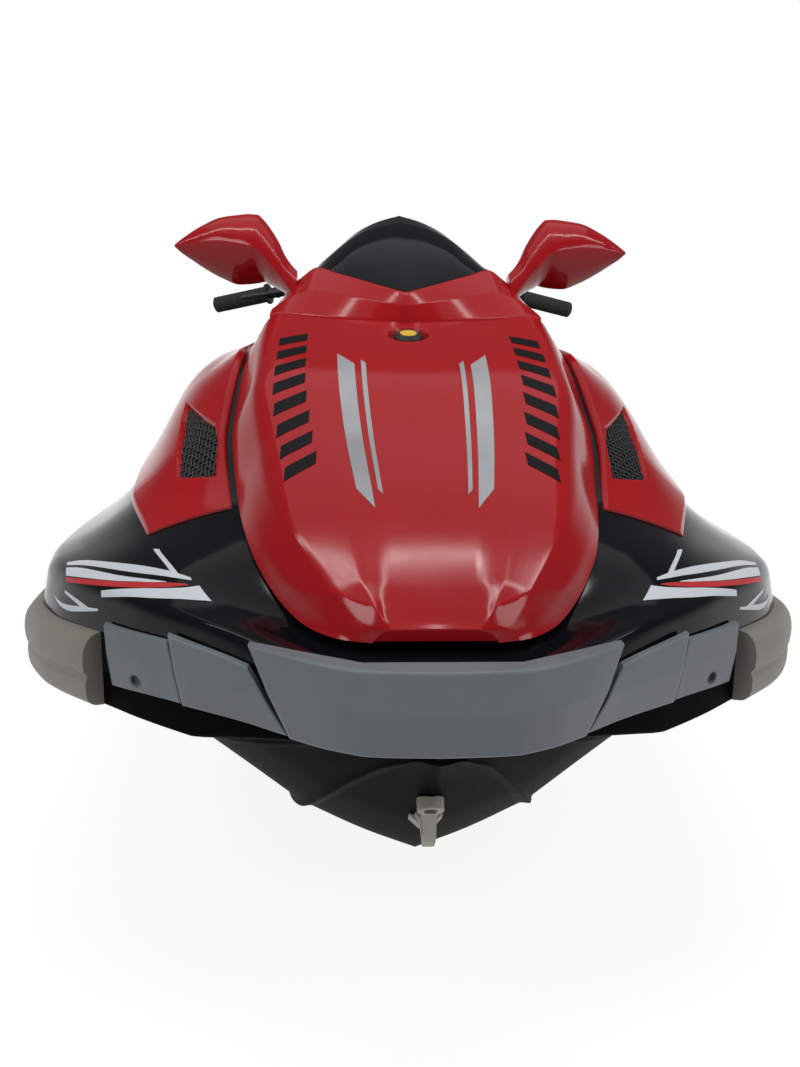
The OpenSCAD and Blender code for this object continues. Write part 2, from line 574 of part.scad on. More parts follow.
inlay_depth = 2;
knob_foot = cup_wall - cup_depth + seat_gap;
module latch_knob() color("#15161a") at_knob() translate([0, 0, knob_foot]) difference() {
    rotate_extrude() polygon([[0, 0], [knob_diameter / 2, 0], [knob_diameter / 2, knob_height - 5],
        [knob_diameter / 2 - 5, knob_height], [0, knob_height]]);
    translate([0, 0, knob_height - inlay_depth]) cylinder(d = knob_diameter * 0.6, h = 3);
}
module knob_inlay() color("#d9b021") at_knob()
    translate([0, 0, knob_foot + seat_gap + knob_height - inlay_depth])
        cylinder(d = knob_diameter * 0.6 - 2 * seat_gap, h = inlay_depth);

// Cowl behind the hood: y, seam z at its front, crest x and z, z at its back
SEAM_Z = 1; CREST_X = 2; CREST_Z = 3; BACK_Z = 4;
cowl_lines = [
    [0, 634, 820, 687, 655], [40, 636, 796, 698, 664], [80, 638, 771, 710, 674], [120, 640, 744, 722, 684],
    [157, 642, 720, 733, 692], [185, 645, 724, 716, 680], [212, 648, 734, 688, 660], [236, 646, 745, 656, 640]];
cowl_front = hood_rear - hood_gap;
cowl_back = lx(650);
crest_land = 16;
function cowl_section(row) = [[cowl_front, lz(500)], [cowl_back, lz(500)], [cowl_back, lz(row[BACK_Z])],
    [lx(row[CREST_X]) - crest_land, lz(row[CREST_Z])], [lx(row[CREST_X]), lz(row[CREST_Z])],
    [cowl_front, lz(row[SEAM_Z])]];
module cowl_solid() { loft_y(mirror_rows([for (row = cowl_lines) [ly(row[0]), cowl_section(row)]])); }
module cowl() color(hood_red) difference() {
    cowl_solid();
    deck_top(lx(500), lx(900), seat_gap);
}
// Windscreen: two leaning faces that meet in a crease; rim x and z at each y of the cowl
screen_rim = [[550, 848], [568, 835], [590, 814], [617, 780], [652, 742]];
function screen_section(i) =
    let (row = cowl_lines[i], x = lx(row[CREST_X]) - 4, z = lz(row[CREST_Z]) + seat_gap,
         rim = [lx(screen_rim[i][0]), lz(screen_rim[i][1])])
    [[x, z], [x - screen_wall * 1.6, z], rim - [0, screen_wall], rim];
module windscreen() color("#1b1d20")
    loft_y(mirror_rows([for (i = [0 : len(screen_rim) - 1]) [ly(cowl_lines[i][0]), screen_section(i)]]));

// Side panels: skins over the deck's slope from its outer corner up to the hood's rim
panel_aft = lx(640);
panel_fore = lx(1230);
function panel_line(x) = [for (i = [OUT_AT + 1 : RIM_AT + 1]) deck_half(x)[i]];
function panel_loop(x, inner, outer) =
    concat(beside(panel_line(x), outer), reverse(beside(panel_line(x), inner)));
// Thins the panel towards its ends
function panel_taper(x) = min(1, 0.25 + (panel_fore - x) / lx(200), 0.25 + (x - panel_aft) / lx(100));
module panel_skin(a, b, inner, outer, taper) loft_x([for (x = between(a, b))
    [x, panel_loop(x, inner, inner + (outer - inner) * (taper ? panel_taper(x) : 1))]]);
// Front view of the vent in the port panel
vent_corners = [[364, 492], [300, 467], [292, 445], [289, 402], [349, 394], [356, 425], [363, 465]];
vent_middle = [330, 440];
module vent(grow) translate([lx(840), 0, 0]) rotate([90, 0, 90]) linear_extrude(lx(400))
    polygon([for (p = vent_corners) [ly(p[0]), lz(p[1])] + grow * unit(p - vent_middle)]);
mesh_wall = 4;
module side_panel_port() color(hood_red) difference() {
    panel_skin(panel_aft, panel_fore, seat_gap, panel_wall, true);
    vent(0);
}
module side_panel_starboard() mirror([0, 1, 0]) side_panel_port();
module vent_mesh_port() color("#202124") intersection() {
    panel_skin(lx(740), panel_fore, seat_gap, mesh_wall, false);
    vent(-0.7);
}
module vent_mesh_starboard() mirror([0, 1, 0]) vent_mesh_port();

// Mirror pods: y, then z of the outline's foot and top and its x, x and z of the front ridge, x of the back
POD_LOW = 1; POD_HIGH = 2; POD_X = 3; RIDGE_X = 4; RIDGE_Z = 5; POD_BACK = 6;
pod_lines = [
    [190, 664, 721, 728, 757, 676, 708], [205, 676, 737, 724, 756, 689, 698],
    [217, 685, 754, 716, 755, 705, 690], [228, 692, 777, 705, 753, 719, 680],
    [247, 701, 806, 692, 750, 741, 662], [257, 706, 818, 686, 748, 752, 654],
    [269, 704, 828, 681, 745, 763, 645], [285, 702, 829, 680, 741, 767, 645],
    [305, 701, 827, 680, 734, 771, 645], [337, 712, 822, 680, 724, 775, 645],
    [372, 731, 806, 682, 712, 774, 645], [390, 743, 795, 684, 705, 772, 651],
    [409, 756, 781, 688, 698, 770, 668], [421, 767, 771, 690, 693, 769, 684]];
pod_edge = 5;
pod_bulge = 0.12;
// Point between p and q, pushed out to the right of their direction
function bulged(p, q) = (p + q) / 2 + pod_bulge * [q[1] - p[1], p[0] - q[0]];
function pod_section(row) =
    let (low = [lx(row[POD_X]), lz(row[POD_LOW])], high = [lx(row[POD_X]), lz(row[POD_HIGH])],
         ridge = [lx(row[RIDGE_X]), lz(row[RIDGE_Z])], back = lx(row[POD_BACK]),
         edge = min(pod_edge, (high[1] - low[1]) * 0.2))
    [low, [back, low[1] + edge], [back, high[1] - edge], high, bulged(ridge, high), ridge, bulged(low, ridge)];
module mirror_pod(side) color(hood_red) difference() {
    scale([1, side, 1]) loft_y([for (row = pod_lines) [ly(row[0]), pod_section(row)]]);
    for (z = [0, seat_gap]) translate([0, side * seat_gap, z]) cowl_solid();
}
module mirror_port() mirror_pod(1);
module mirror_starboard() mirror_pod(-1);
mirror_back = lx(645);
glass_wall = 2;
glass_corners = [[277, 815], [318, 812], [352, 800], [370, 787],
    [370, 749], [345, 733], [310, 717], [281, 718]];
module mirror_glasses() color("#b9c4cc") port_and_starboard()
    translate([mirror_back - seat_gap - glass_wall, 0, 0]) rotate([90, 0, 90]) linear_extrude(glass_wall)
        polygon([for (p = glass_corners) [ly(p[0]), lz(p[1])]]);

// Steering axis
column = [lx(530), 0, lz(590)];
column_dir = [-sin(steering_rake), 0, cos(steering_rake)];
function on_column(w) = column + column_dir * w;
module at_column(w) { translate(on_column(w)) rotate([0, -steering_rake, 0]) children(); }
collar_top = 70;
collar_wall = 18;
bar_at = 130;

// Dash behind the windscreen: outline in x and z
dash_half = ly(130);
dash_outline = [[650, 540], [650, 664], [600, 664], [545, 640], [505, 622], [488, 600], [488, 540]];
module dash() color("#1a1b1e") difference() {
    union() {
        translate([-seat_gap, dash_half, 0]) rotate([90, 0, 0]) linear_extrude(2 * dash_half)
            polygon([for (p = dash_outline) [lx(p[0]), lz(p[1])]]);
        at_column(-20) cylinder(d = stem_diameter + 2 * collar_wall, h = collar_top + 20);
    }
    at_column(-60) cylinder(d = stem_diameter + 2 * run_gap, h = 200);
    deck_top(lx(365), lx(794), seat_gap);
}
gauge_diameter = 48;
gauge_height = 8;
module gauge() color("#0c0d10")
    translate([lx(572.5) - seat_gap, 0, lz(652)]) rotate([0, -atan2(lz(664) - lz(640), lx(600) - lx(545)), 0])
        translate([0, 0, seat_gap]) cylinder(d = gauge_diameter, h = gauge_height);

// Handlebar, in the straight-ahead position: points of the port tube from the centre outwards
bar_centre = on_column(bar_at);
bar_points = [for (p = [[0, 0, 0], [-25, 90, 13], [-77, 254, -9], [-127, 392, -37]]) bar_centre + p];
knuckle = 3;
module bar_run(d) {
    for (i = [0 : len(bar_points) - 2]) rod(bar_points[i], bar_points[i + 1], d);
    for (i = [1 : len(bar_points) - 2]) translate(bar_points[i]) sphere(d = d + knuckle);
}
hub_half = 22;
// Barrel that joins the tubes to the shaft
module hub(grow) along_y(bar_centre[0], -hub_half - grow, hub_half + grow, bar_centre[2],
    stem_diameter + 2 * knuckle + 2 * grow);
module handlebar() color("#2b2d31") {
    rod(on_column(8), on_column(bar_at), stem_diameter);
    hub(0);
    port_and_starboard() bar_run(bar_diameter);
}
pad_length = 170;
pad_depth = 76;
pad_height = 46;
pad_round = 14;
module bar_pad() color("#1d1e22") difference() {
    at_column(bar_at + 6) {
        translate([-pad_depth / 2, -pad_length / 2, 0]) cube([pad_depth, pad_length, pad_height - pad_round]);
        translate([-pad_depth / 2 + pad_round, -pad_length / 2, 0])
            cube([pad_depth - 2 * pad_round, pad_length, pad_height]);
        for (s = [-1, 1]) translate([s * (pad_depth / 2 - pad_round), pad_length / 2, pad_height - pad_round])
            rotate([90, 0, 0]) cylinder(r = pad_round, h = pad_length);
    }
    port_and_starboard() bar_run(bar_diameter + 2 * seat_gap);
    hub(seat_gap);
}
bar_end = norm(bar_points[3] - bar_points[2]);
grip_cap = 6;
grip_flange = 10;
module grips() color("#101113") port_and_starboard() difference() {
    union() {
        rod(bar_points[2], bar_points[3], grip_diameter, bar_end - grip_length, bar_end + grip_cap);
        rod(bar_points[2], bar_points[3], grip_diameter + grip_flange, bar_end - grip_length,
            bar_end - grip_length + grip_cap);
    }
    rod(bar_points[2], bar_points[3], bar_diameter + 2 * seat_gap, -5, bar_end + seat_gap);
}
bar_inner = norm(bar_points[2] - bar_points[1]);
clamp_wall = 10;
clamp_gap = 0.7;
// Ring clamped on the inner length of the port tube, from so far before its outer bend
module clamp_ring(before) difference() {
    rod(bar_points[1], bar_points[2], bar_diameter + 2 * clamp_wall, bar_inner - before, bar_inner - 20);
    rod(bar_points[1], bar_points[2], bar_diameter + 2 * clamp_gap, 0, bar_inner);
}
lever_diameter = 9;
module throttle_lever() color("#33363a") mirror([0, 1, 0]) {
    clamp_ring(50);
    lever_out = max(bar_diameter / 2 + clamp_wall, (grip_diameter + grip_flange) / 2 - 1) + 6;
    rod(bar_points[2] + [lever_out, -26, 3], bar_points[2] + [lever_out - 9, 76, -14], lever_diameter);
}
module switch_pod() color("#1a1b1e") clamp_ring(80);

// Seats: station, half width at the base, greatest half width, half width of the top, share of full height
BASE_W = 1; WIDE_W = 2; TOP_W = 3; RISE = 4;
saddle_lines = [[-340, 140, 196, 150, 1.18], [-300, 140, 196, 156, 1.16], [-100, 140, 188, 148, 1.02],
    [100, 140, 170, 126, 0.95], [220, 140, 160, 112, 0.97], [275, 136, 152, 96, 1.0], [300, 130, 140, 80, 0.9]];
rear_lines = [[-1120, 130, 170, 120, 0.86], [-1090, 136, 182, 140, 0.96], [-900, 140, 190, 156, 1.0],
    [-700, 140, 194, 158, 0.97], [-500, 140, 196, 156, 1.0], [-400, 140, 196, 150, 1.05],
    [-350, 140, 194, 140, 0.98]];
// Deck's value of column c on the straight run between two stations
function run_y(c, x) = lookup(x, [for (s = stations) [s, deck_y(c, s)]]);
function run_z(c, x) = lookup(x, [for (s = stations) [s, deck_z(c, s)]]);
function seat_col(tab, c, x) = at(tab, c, x * plan_length / craft_length);
function seat_half(tab, x, h) =
    let (b = ly(seat_col(tab, BASE_W, x)), w = ly(seat_col(tab, WIDE_W, x)), t = ly(seat_col(tab, TOP_W, x)),
         mid = run_z(TOP_Z, x) + seat_gap,
         base = mid + (run_z(EDGE_Z, x) - run_z(TOP_Z, x)) * b / run_y(EDGE_Y, x),
         top = mid + h * seat_col(tab, RISE, x))
    soft([[0, mid], [b, base], [w, base + (top - base) * 0.42], [t, top - (top - base) * 0.08], [0, top]],
         [0, 0, 50, 60, 0], 4);
module seat(tab, h, xs) { loft_x([for (x = xs) [lx(x), both_sides(seat_half(tab, lx(x), h))]]); }
module seat_front() color("#17181b")
    seat(saddle_lines, saddle_height, [-340, -300, -200, -100, 0, 100, 200, 250, 285, 300]);
module seat_rear() color("#17181b")
    seat(rear_lines, rear_seat_height,
        [-1120, -1092, -1056, -1020, -900, -800, -700, -600, -500, -430, -390, -350]);

// Passenger's grab handle, a hoop behind the rear seat
hoop_x = lx(-1290);
hoop_half = ly(150);
hoop_top = lz(450);
hoop_bend = 60;
hoop_lean = lx(50);
module grab_handle() color("#26282c") {
    foot = deck_z(TOP_Z, hoop_x) + seat_gap;
    a = [hoop_x, hoop_half, foot + 4];
    b = [hoop_x + hoop_lean, hoop_half, hoop_top - hoop_bend];
    c = [hoop_x + hoop_lean, hoop_half - hoop_bend, hoop_top];
    port_and_starboard() {
        translate([hoop_x, hoop_half, foot]) cylinder(d = grab_diameter + 26, h = 8);
        rod(a, b, grab_diameter);
        translate(b) sphere(d = grab_diameter + knuckle);
        rod(b, c, grab_diameter);
        translate(c) sphere(d = grab_diameter + knuckle);
    }
    rod([c[0], -c[1], c[2]], c, grab_diameter);
}
// Footwell mats, and the mat on the stern platform
mat_height = 6;
mat_in = 280;
mat_out = 400;
platform_out = 330;
// Deck's height between the pedestal's foot and the footwell's outer corner, with a seating gap
function floor_z(x, y) =
    let (a = [deck_y(FOOT_Y, x), deck_z(FOOT_Z, x)], b = [deck_y(OUT_Y, x), deck_z(OUT_Z, x)])
    a[1] + (b[1] - a[1]) * (y - a[0]) / (b[0] - a[0]) + seat_gap;
module footwell_mats() color("#2c2e31") port_and_starboard()
    loft_x([for (x = between(lx(-900), lx(300))) let (a = ly(mat_in), b = ly(mat_out))
        [x, [[a, floor_z(x, a)], [b, floor_z(x, b)], [b, floor_z(x, b) + mat_height],
             [a, floor_z(x, a) + mat_height]]]]);
function platform_half(x) = let (o = ly(platform_out)) [[0, deck_z(TOP_Z, x) + seat_gap],
    [deck_y(EDGE_Y, x), deck_z(EDGE_Z, x) + seat_gap], [deck_y(FOOT_Y, x), deck_z(FOOT_Z, x) + seat_gap],
    [o, floor_z(x, o)]];
module stern_mat() color("#2c2e31") loft_x([for (x = between(lx(-1580), lx(-1400)))
    let (low = platform_half(x)) [x, both_sides(concat(low, [for (p = reverse(low)) p + [0, mat_height]]))]]);

// Sponsons low on the hull's sides
sponson_out = 32;
sponson_low = 20;
sponson_high = 74;
sponson_fore = lx(-500);
module sponsons() color("#3a3d41") port_and_starboard() loft_x([for (x = between(lx(-1240), sponson_fore))
    let (a = hull_half(x)[CHINE_AT], b = topside_knee(x), d = unit(b - a), n = [d[1], -d[0]],
         p = a + d * sponson_low, q = a + d * sponson_high,
         o = sponson_out * min(1, 0.2 + (sponson_fore - x) / lx(420)))
    [x, [p + n * seat_gap, p + n * (o + seat_gap) + d * 4,
         q + n * (o * 0.8 + seat_gap) - d * 18, q + n * seat_gap]]]);

// Jet pump
flange_wall = 12;
flange_rim = 10;
housing_length = 170;
housing_x = tunnel_x - seat_gap;
stator_length = 50;
impeller_length = 74;
impeller_x = housing_x - 28 - impeller_length;
stator_x = housing_x - housing_length;
vane_x = stator_x + 4;
vane_set = 3;
vane_wall = 7;
vane_count = 5;
cast_grey = "#8d9296";
module pump_housing() color(cast_grey) {
    difference() {
        union() {
            along_x(stator_x, pump_z) cylinder(d = housing_diameter, h = housing_length);
            along_x(housing_x - flange_wall, pump_z)
                cylinder(d = housing_diameter + 2 * flange_rim, h = flange_wall);
        }
        along_x(stator_x - 1, pump_z) cylinder(d = pump_bore, h = housing_length + 2);
    }
    difference() {
        union() {
            along_x(vane_x, pump_z) cylinder(d = hub_diameter, h = stator_length);
            for (i = [0 : vane_count - 1])
                translate([vane_x + vane_set, 0, pump_z]) rotate([i * 360 / vane_count, 0, 0])
                translate([0, -vane_wall / 2, hub_diameter / 2 - 4])
                    cube([stator_length - 2 * vane_set, vane_wall, (pump_bore - hub_diameter) / 2 + 8]);
        }
        along_x(vane_x - 1, pump_z) cylinder(d = shaft_diameter + 2 * run_gap, h = stator_length + 2);
    }
}
blade_count = 3;
blade_pitch = 36;
blade_wall = 6;
shaft_end = 4;
module impeller() color("#b7bbbe") {
    along_x(stator_x + shaft_end, pump_z)
        cylinder(d = shaft_diameter, h = engine_x + coupling_depth - stator_x - 2 * shaft_end);
    along_x(impeller_x, pump_z) cylinder(d = hub_diameter, h = impeller_length);
    intersection() {
        along_x(impeller_x, pump_z) cylinder(d = pump_bore - 2 * impeller_gap, h = impeller_length);
        for (i = [0 : blade_count - 1]) translate([impeller_x + impeller_length / 2, 0, pump_z])
            rotate([i * 360 / blade_count, 0, 0]) rotate([0, 0, blade_pitch])
                translate([-impeller_length, -blade_wall / 2, 0])
                    cube([2 * impeller_length, blade_wall, pump_bore]);
    }
}
// Reduction nozzle, then the steering nozzle on its upright pins and the bucket on its level ones
jet_wall = 5;
cone_length = 90;
lip_length = 34;
cone_x = stator_x - seat_gap;
tip_x = cone_x - cone_length - lip_length;
steer_x = tip_x + 8;
tip_radius = jet_bore / 2 + jet_wall;
nozzle_bore = 2 * tip_radius + 30;
nozzle_wall = 6;
nozzle_outer = nozzle_bore + 2 * nozzle_wall;
pin_reach = nozzle_outer / 2 + 2;
module reduction_nozzle() color(cast_grey) difference() {
    union() {
        along_x(cone_x - cone_length, pump_z)
            cylinder(r1 = tip_radius, r2 = housing_diameter / 2, h = cone_length);
        along_x(tip_x, pump_z) cylinder(r = tip_radius, h = lip_length + 1);
        translate([steer_x, 0, pump_z - pin_reach]) cylinder(d = pivot_pin, h = 2 * pin_reach);
    }
    along_x(cone_x - cone_length - 0.01, pump_z)
        cylinder(d1 = jet_bore, d2 = pump_bore, h = cone_length + 0.02);
    along_x(tip_x - 1, pump_z) cylinder(d = jet_bore, h = lip_length + 2);
}
nozzle_front = steer_x + 14;
nozzle_ring = 40;
nozzle_cone = 80;
nozzle_exit = nozzle_front - nozzle_ring - nozzle_cone;
bucket_x = nozzle_front - 70;
exit_bore = jet_bore + 14;
module steering_nozzle() color("#5b6064") {
    difference() {
        union() {
            along_x(nozzle_front - nozzle_ring, pump_z) cylinder(d = nozzle_outer, h = nozzle_ring);
            along_x(nozzle_exit, pump_z)
                cylinder(d1 = exit_bore + 2 * nozzle_wall, d2 = nozzle_outer, h = nozzle_cone);
        }
        along_x(nozzle_front - nozzle_ring, pump_z) cylinder(d = nozzle_bore, h = nozzle_ring + 1);
        along_x(nozzle_exit - 0.01, pump_z) cylinder(d1 = exit_bore, d2 = nozzle_bore, h = nozzle_cone + 0.02);
        translate([steer_x, 0, pump_z - nozzle_outer])
            cylinder(d = pivot_pin + 2 * run_gap, h = 2 * nozzle_outer);
    }
    port_and_starboard()
        along_y(bucket_x, nozzle_outer / 2 - 8, bucket_half + bucket_wall + 4, pump_z, pivot_pin);
}
// Reverse bucket, stowed above the nozzle: a curved wall between two cheeks
bucket_wall = 7;
bucket_half = nozzle_outer / 2 + part_gap + 1;
bucket_inner = nozzle_outer / 2 + 24;
bucket_outer = bucket_inner + bucket_wall;
bucket_sweep = 64;
module bucket_sector() {
    r = bucket_outer * 1.6;
    a = bucket_sweep / 2;
    polygon([[0, 0], [r * sin(a), r * cos(a)], [0, r * 1.2], [-r * sin(a), r * cos(a)]]);
}
module bucket_slab(y0, y1) {
    translate([bucket_x, y1, pump_z]) rotate([90, 0, 0]) linear_extrude(y1 - y0) children();
}
module reverse_bucket() color("#5b6064") {
    bucket_slab(-bucket_half - bucket_wall, bucket_half + bucket_wall) intersection() {
        difference() {
            circle(bucket_outer);
            circle(bucket_inner);
        }
        bucket_sector();
    }
    for (y = [bucket_half, -bucket_half - bucket_wall]) bucket_slab(y, y + bucket_wall) difference() {
        union() {
            intersection() {
                circle(bucket_inner + 1);
                bucket_sector();
            }
            circle(pivot_pin + 3);
        }
        circle(d = pivot_pin + 2 * run_gap);
    }
}
// Ride plate under the pump, and the grate over the intake
ride_z = lz(-222);
ride_wall = 9;
groove_depth = 3;
module ride_plate() color("#4a4e52") difference() {
    translate([stern_x + 14, -tunnel_width / 2 + seat_gap, ride_z])
        cube([tunnel_length - 14 - flange_wall - 12, tunnel_width - 2 * seat_gap, ride_wall]);
    for (i = [-2 : 2]) translate([stern_x + 60, i * 50 - 6, ride_z - 1]) cube([160, 12, groove_depth + 1]);
}
grate_z = lz(-262);
grate_bar = 10;
grate_height = 16;
grate_pitch = 34;
module intake_grate() color("#4a4e52") intersection() {
    translate([2 * seat_gap, 0, -3 * seat_gap]) intake_duct();
    union() {
        for (i = [-1.5 : 1 : 1.5]) translate([tunnel_x, i * grate_pitch - grate_bar / 2, grate_z])
            cube([intake_length, grate_bar, grate_height]);
        translate([tunnel_x + 120, -1.5 * grate_pitch - grate_bar / 2, grate_z])
            cube([14, 3 * grate_pitch + grate_bar, grate_height]);
    }
}

// Stern fittings, on the flat transom or the platform
transom_x = stern_x - seat_gap;
stern_eye_y = ly(330);
stern_eye_z = lz(28);
eye_plate = 6;
eye_offset = 18;
module stern_eyes() color("#c9ccce") port_and_starboard()
    translate([transom_x, stern_eye_y, stern_eye_z]) difference() {
    union() {
        translate([-eye_plate, -22, -26]) cube([eye_plate, 44, 52]);
        translate([-eye_offset, 6, 0]) rotate([90, 0, 0]) cylinder(d = stern_eye_bore + 14, h = 12);
        translate([-eye_offset, -6, -stern_eye_bore / 2 - 7]) cube([eye_offset - 2, 12, stern_eye_bore + 14]);
    }
    translate([-eye_offset, 10, 0]) rotate([90, 0, 0]) cylinder(d = stern_eye_bore, h = 20);
}
plug_y = ly(250);
plug_z = lz(-60);
module drain_plugs() color("#17181a") port_and_starboard()
    translate([transom_x, plug_y, plug_z]) rotate([0, -90, 0]) {
    cylinder(d = 40, h = 8);
    cylinder(d = 24, h = 16, $fn = 6);
}
ski_x = lx(-1330);
ski_ring = 24;
module ski_eye() color("#c9ccce") translate([ski_x, 0, deck_z(TOP_Z, ski_x) + seat_gap]) {
    translate([-20, -40, 0]) cube([40, 80, 6]);
    intersection() {
        translate([0, 0, 6]) rotate([0, 90, 0]) rotate_extrude() translate([ski_ring, 0]) circle(d = 11);
        translate([-20, -40, 4]) cube([40, 80, 60]);
    }
}

hull_shell();
deck();
gunwale_rail();
bumper_centre();
bumper_port();
bumper_starboard();
tow_eye();
cowl();
side_panel_port();
side_panel_starboard();
vent_mesh_port();
vent_mesh_starboard();
windscreen();
mirror_port();
mirror_starboard();
mirror_glasses();
dash();
gauge();
storage_bin();
seat_front();
seat_rear();
grab_handle();
footwell_mats();
stern_mat();
sponsons();
ride_plate();
intake_grate();
pump_housing();
reduction_nozzle();
stern_eyes();
ski_eye();
drain_plugs();
engine();
hood_hinges();
hood();
latch_cup();
latch_knob();
knob_inlay();
handlebar();
bar_pad();
grips();
throttle_lever();
switch_pod();
impeller();
steering_nozzle();
reverse_bucket();
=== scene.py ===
"""Sit-down personal watercraft, dressed for its picture.

Metres, +X to the bow, +Y to port, +Z up, with the origin amidships on the waterline. The tables of the lines
plan are in millimetres and become metres where a surface is put into a mesh.
"""

import json
import logging
from collections.abc import Callable
from dataclasses import dataclass
from enum import Enum
from math import cos, radians, sin

import bmesh
import bpy
import numpy as np
from mathutils import Matrix


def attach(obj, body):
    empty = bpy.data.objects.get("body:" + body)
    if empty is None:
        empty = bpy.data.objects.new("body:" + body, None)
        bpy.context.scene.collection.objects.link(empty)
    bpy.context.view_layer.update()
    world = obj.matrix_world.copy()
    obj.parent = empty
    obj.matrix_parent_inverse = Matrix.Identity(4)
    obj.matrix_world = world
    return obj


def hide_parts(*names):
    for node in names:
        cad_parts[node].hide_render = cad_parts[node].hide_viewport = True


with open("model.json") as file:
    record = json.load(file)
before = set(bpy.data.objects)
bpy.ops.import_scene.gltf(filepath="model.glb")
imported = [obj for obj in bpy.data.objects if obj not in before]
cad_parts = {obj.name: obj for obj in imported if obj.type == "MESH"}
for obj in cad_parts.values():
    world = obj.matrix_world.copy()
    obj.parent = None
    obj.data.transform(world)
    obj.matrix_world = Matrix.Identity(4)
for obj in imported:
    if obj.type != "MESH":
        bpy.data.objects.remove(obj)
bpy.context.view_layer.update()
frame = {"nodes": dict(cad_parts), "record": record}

LOG = logging.getLogger("watercraft")
MM = 0.001
OTHER_HALF = np.array([-1.0, 1.0])
UPWARD = np.array([0.0, 0.0, 1.0])
Array = np.ndarray
Piece = bpy.types.Object
Tree = bpy.types.NodeTree
Node = bpy.types.Node
Socket = bpy.types.NodeSocket

# Film: rounding of its edges, longest step along it, and its face and back above the surface
FILM_EASE, FILM_STEP, FILM_FACE, FILM_BACK = 60.0, 3.0, 0.7, 0.3


class Body(Enum):
    """Bodies of the craft that pieces ride on."""

    CRAFT = "craft"
    HOOD = "hood"
    HANDLEBAR = "handlebar"


class Side(Enum):
    """Side of the craft, with the sign of its Y."""

    PORT = 1
    STARBOARD = -1

    @property
    def word(self) -> str:
        """Name of the side in piece names."""
        return self.name.lower()


# Curves and surfaces


@dataclass(frozen=True)
class Lines:
    """Rows of a lines plan: a station, then one value per column."""

    rows: tuple[tuple[float, ...], ...]

    def at(self, column: int, x: Array) -> Array:
        """Column on a cubic through the rows that never overshoots them.

        Each inner tangent is the harmonic mean 2ab / (a + b) of the slopes a and b beside it, or nothing where
        they differ in sign. Beyond the first and last row the value is held.

        Args:
            column: Column of the table.
            x: Stations, in any shape.

        Returns:
            Values in the shape of x.
        """
        table = np.asarray(self.rows, float)
        xs, ys = table[:, 0], table[:, column]
        h = np.diff(xs)
        slope = np.diff(ys) / h
        a, b = slope[:-1], slope[1:]
        total = np.where(a * b > 0, a + b, 1.0)
        tangent = np.concatenate([slope[:1], np.where(a * b > 0, 2 * a * b / total, 0.0), slope[-1:]])
        i = np.clip(np.searchsorted(xs, x, "right") - 1, 0, len(xs) - 2)
        t = np.clip((x - xs[i]) / h[i], 0, 1)
        return (ys[i] * (2 * t**3 - 3 * t**2 + 1) + tangent[i] * h[i] * (t**3 - 2 * t**2 + t)
                + ys[i + 1] * (3 * t**2 - 2 * t**3) + tangent[i + 1] * h[i] * (t**3 - t**2))


def smooth(t: Array) -> Array:
    """Step from 0 to 1 that starts and ends level: 3t^2 - 2t^3."""
    t = np.clip(t, 0, 1)
    return t * t * (3 - 2 * t)


def unit(v: Array) -> Array:
    """Vectors of length 1 along the last axis."""
    return v / np.maximum(np.linalg.norm(v, axis=-1, keepdims=True), 1e-9)


def soft(points: Array, radii: tuple[float, ...], steps: int) -> Array:
    """Polylines with rounded corners.

    A corner p between its neighbours becomes the quadratic s(1-t)^2 + 2pt(1-t) + et^2, where s and e lie on the
    two edges at the corner's radius, and at most 0.45 of the edge, from p.

    Args:
        points: Polylines, (rows, corners, axes).
        radii: Radius of each corner; 0 keeps it.
        steps: Steps of each rounded corner.

    Returns:
        Polylines with the corners rounded.
    """
    parts = []
    t = np.linspace(0, 1, steps + 1)[None, :, None]
    for i, radius in enumerate(radii):
        p = points[:, i : i + 1]
        if radius == 0 or i in (0, len(radii) - 1):
            parts.append(p)
            continue
        a, b = points[:, i - 1 : i] - p, points[:, i + 1 : i + 2] - p
        reach = [np.minimum(radius, 0.45 * np.linalg.norm(v, axis=-1, keepdims=True)) for v in (a, b)]
        s, e = p + unit(a) * reach[0], p + unit(b) * reach[1]
        parts.append(s * (1 - t) ** 2 + 2 * p * t * (1 - t) + e * t**2)
    return np.concatenate(parts, axis=1)


def rounded(corners: list, radii: tuple[float, ...], steps: int) -> Array:
    """Rounded sections from corners that are each a pair of arrays over the stations."""
    return soft(np.stack([np.stack(p, axis=-1) for p in corners], axis=1), radii, steps)


def finer(points: Array, longest: float) -> Array:
    """Polylines with each edge cut evenly, so that no step is longer than a length in the first row.

    Args:
        points: Polylines, (rows, corners, axes).
        longest: Longest step.

    Returns:
        Polylines with more points.
    """
    edge = np.linalg.norm(np.diff(points, axis=1), axis=-1).max(axis=0)
    cuts = np.maximum(np.ceil(edge / longest).astype(int), 1)
    place = np.concatenate([i + np.arange(n) / n for i, n in enumerate(cuts)] + [[len(cuts)]])
    i = np.minimum(place.astype(int), len(cuts) - 1)
    t = (place - i)[None, :, None]
    return points[:, i] * (1 - t) + points[:, i + 1] * t


def both_sides(half: Array) -> Array:
    """Closed sections from port halves that run from the bottom centre outwards to the top centre."""
    return np.concatenate([half, half[:, -2:0:-1] * OTHER_HALF], axis=1)


def across_x(x: Array, sections: Array) -> Array:
    """Points of sections of (y, z) set across X at the stations x."""
    return np.concatenate([np.broadcast_to(x[:, None, None], sections.shape[:2] + (1,)), sections], axis=-1)


def across_y(y: Array, sections: Array) -> Array:
    """Points of sections of (x, z) set across Y at the half widths y."""
    wide = np.broadcast_to(y[:, None], sections.shape[:2])
    return np.stack([sections[..., 0], wide, sections[..., 1]], axis=-1)


def beside(lines: Array, d: Array) -> Array:
    """Polylines of (y, z) moved by d to the right of their direction."""
    t = unit(np.gradient(lines, axis=1))
    return lines + d[..., None] * np.stack([t[..., 1], -t[..., 0]], axis=-1)


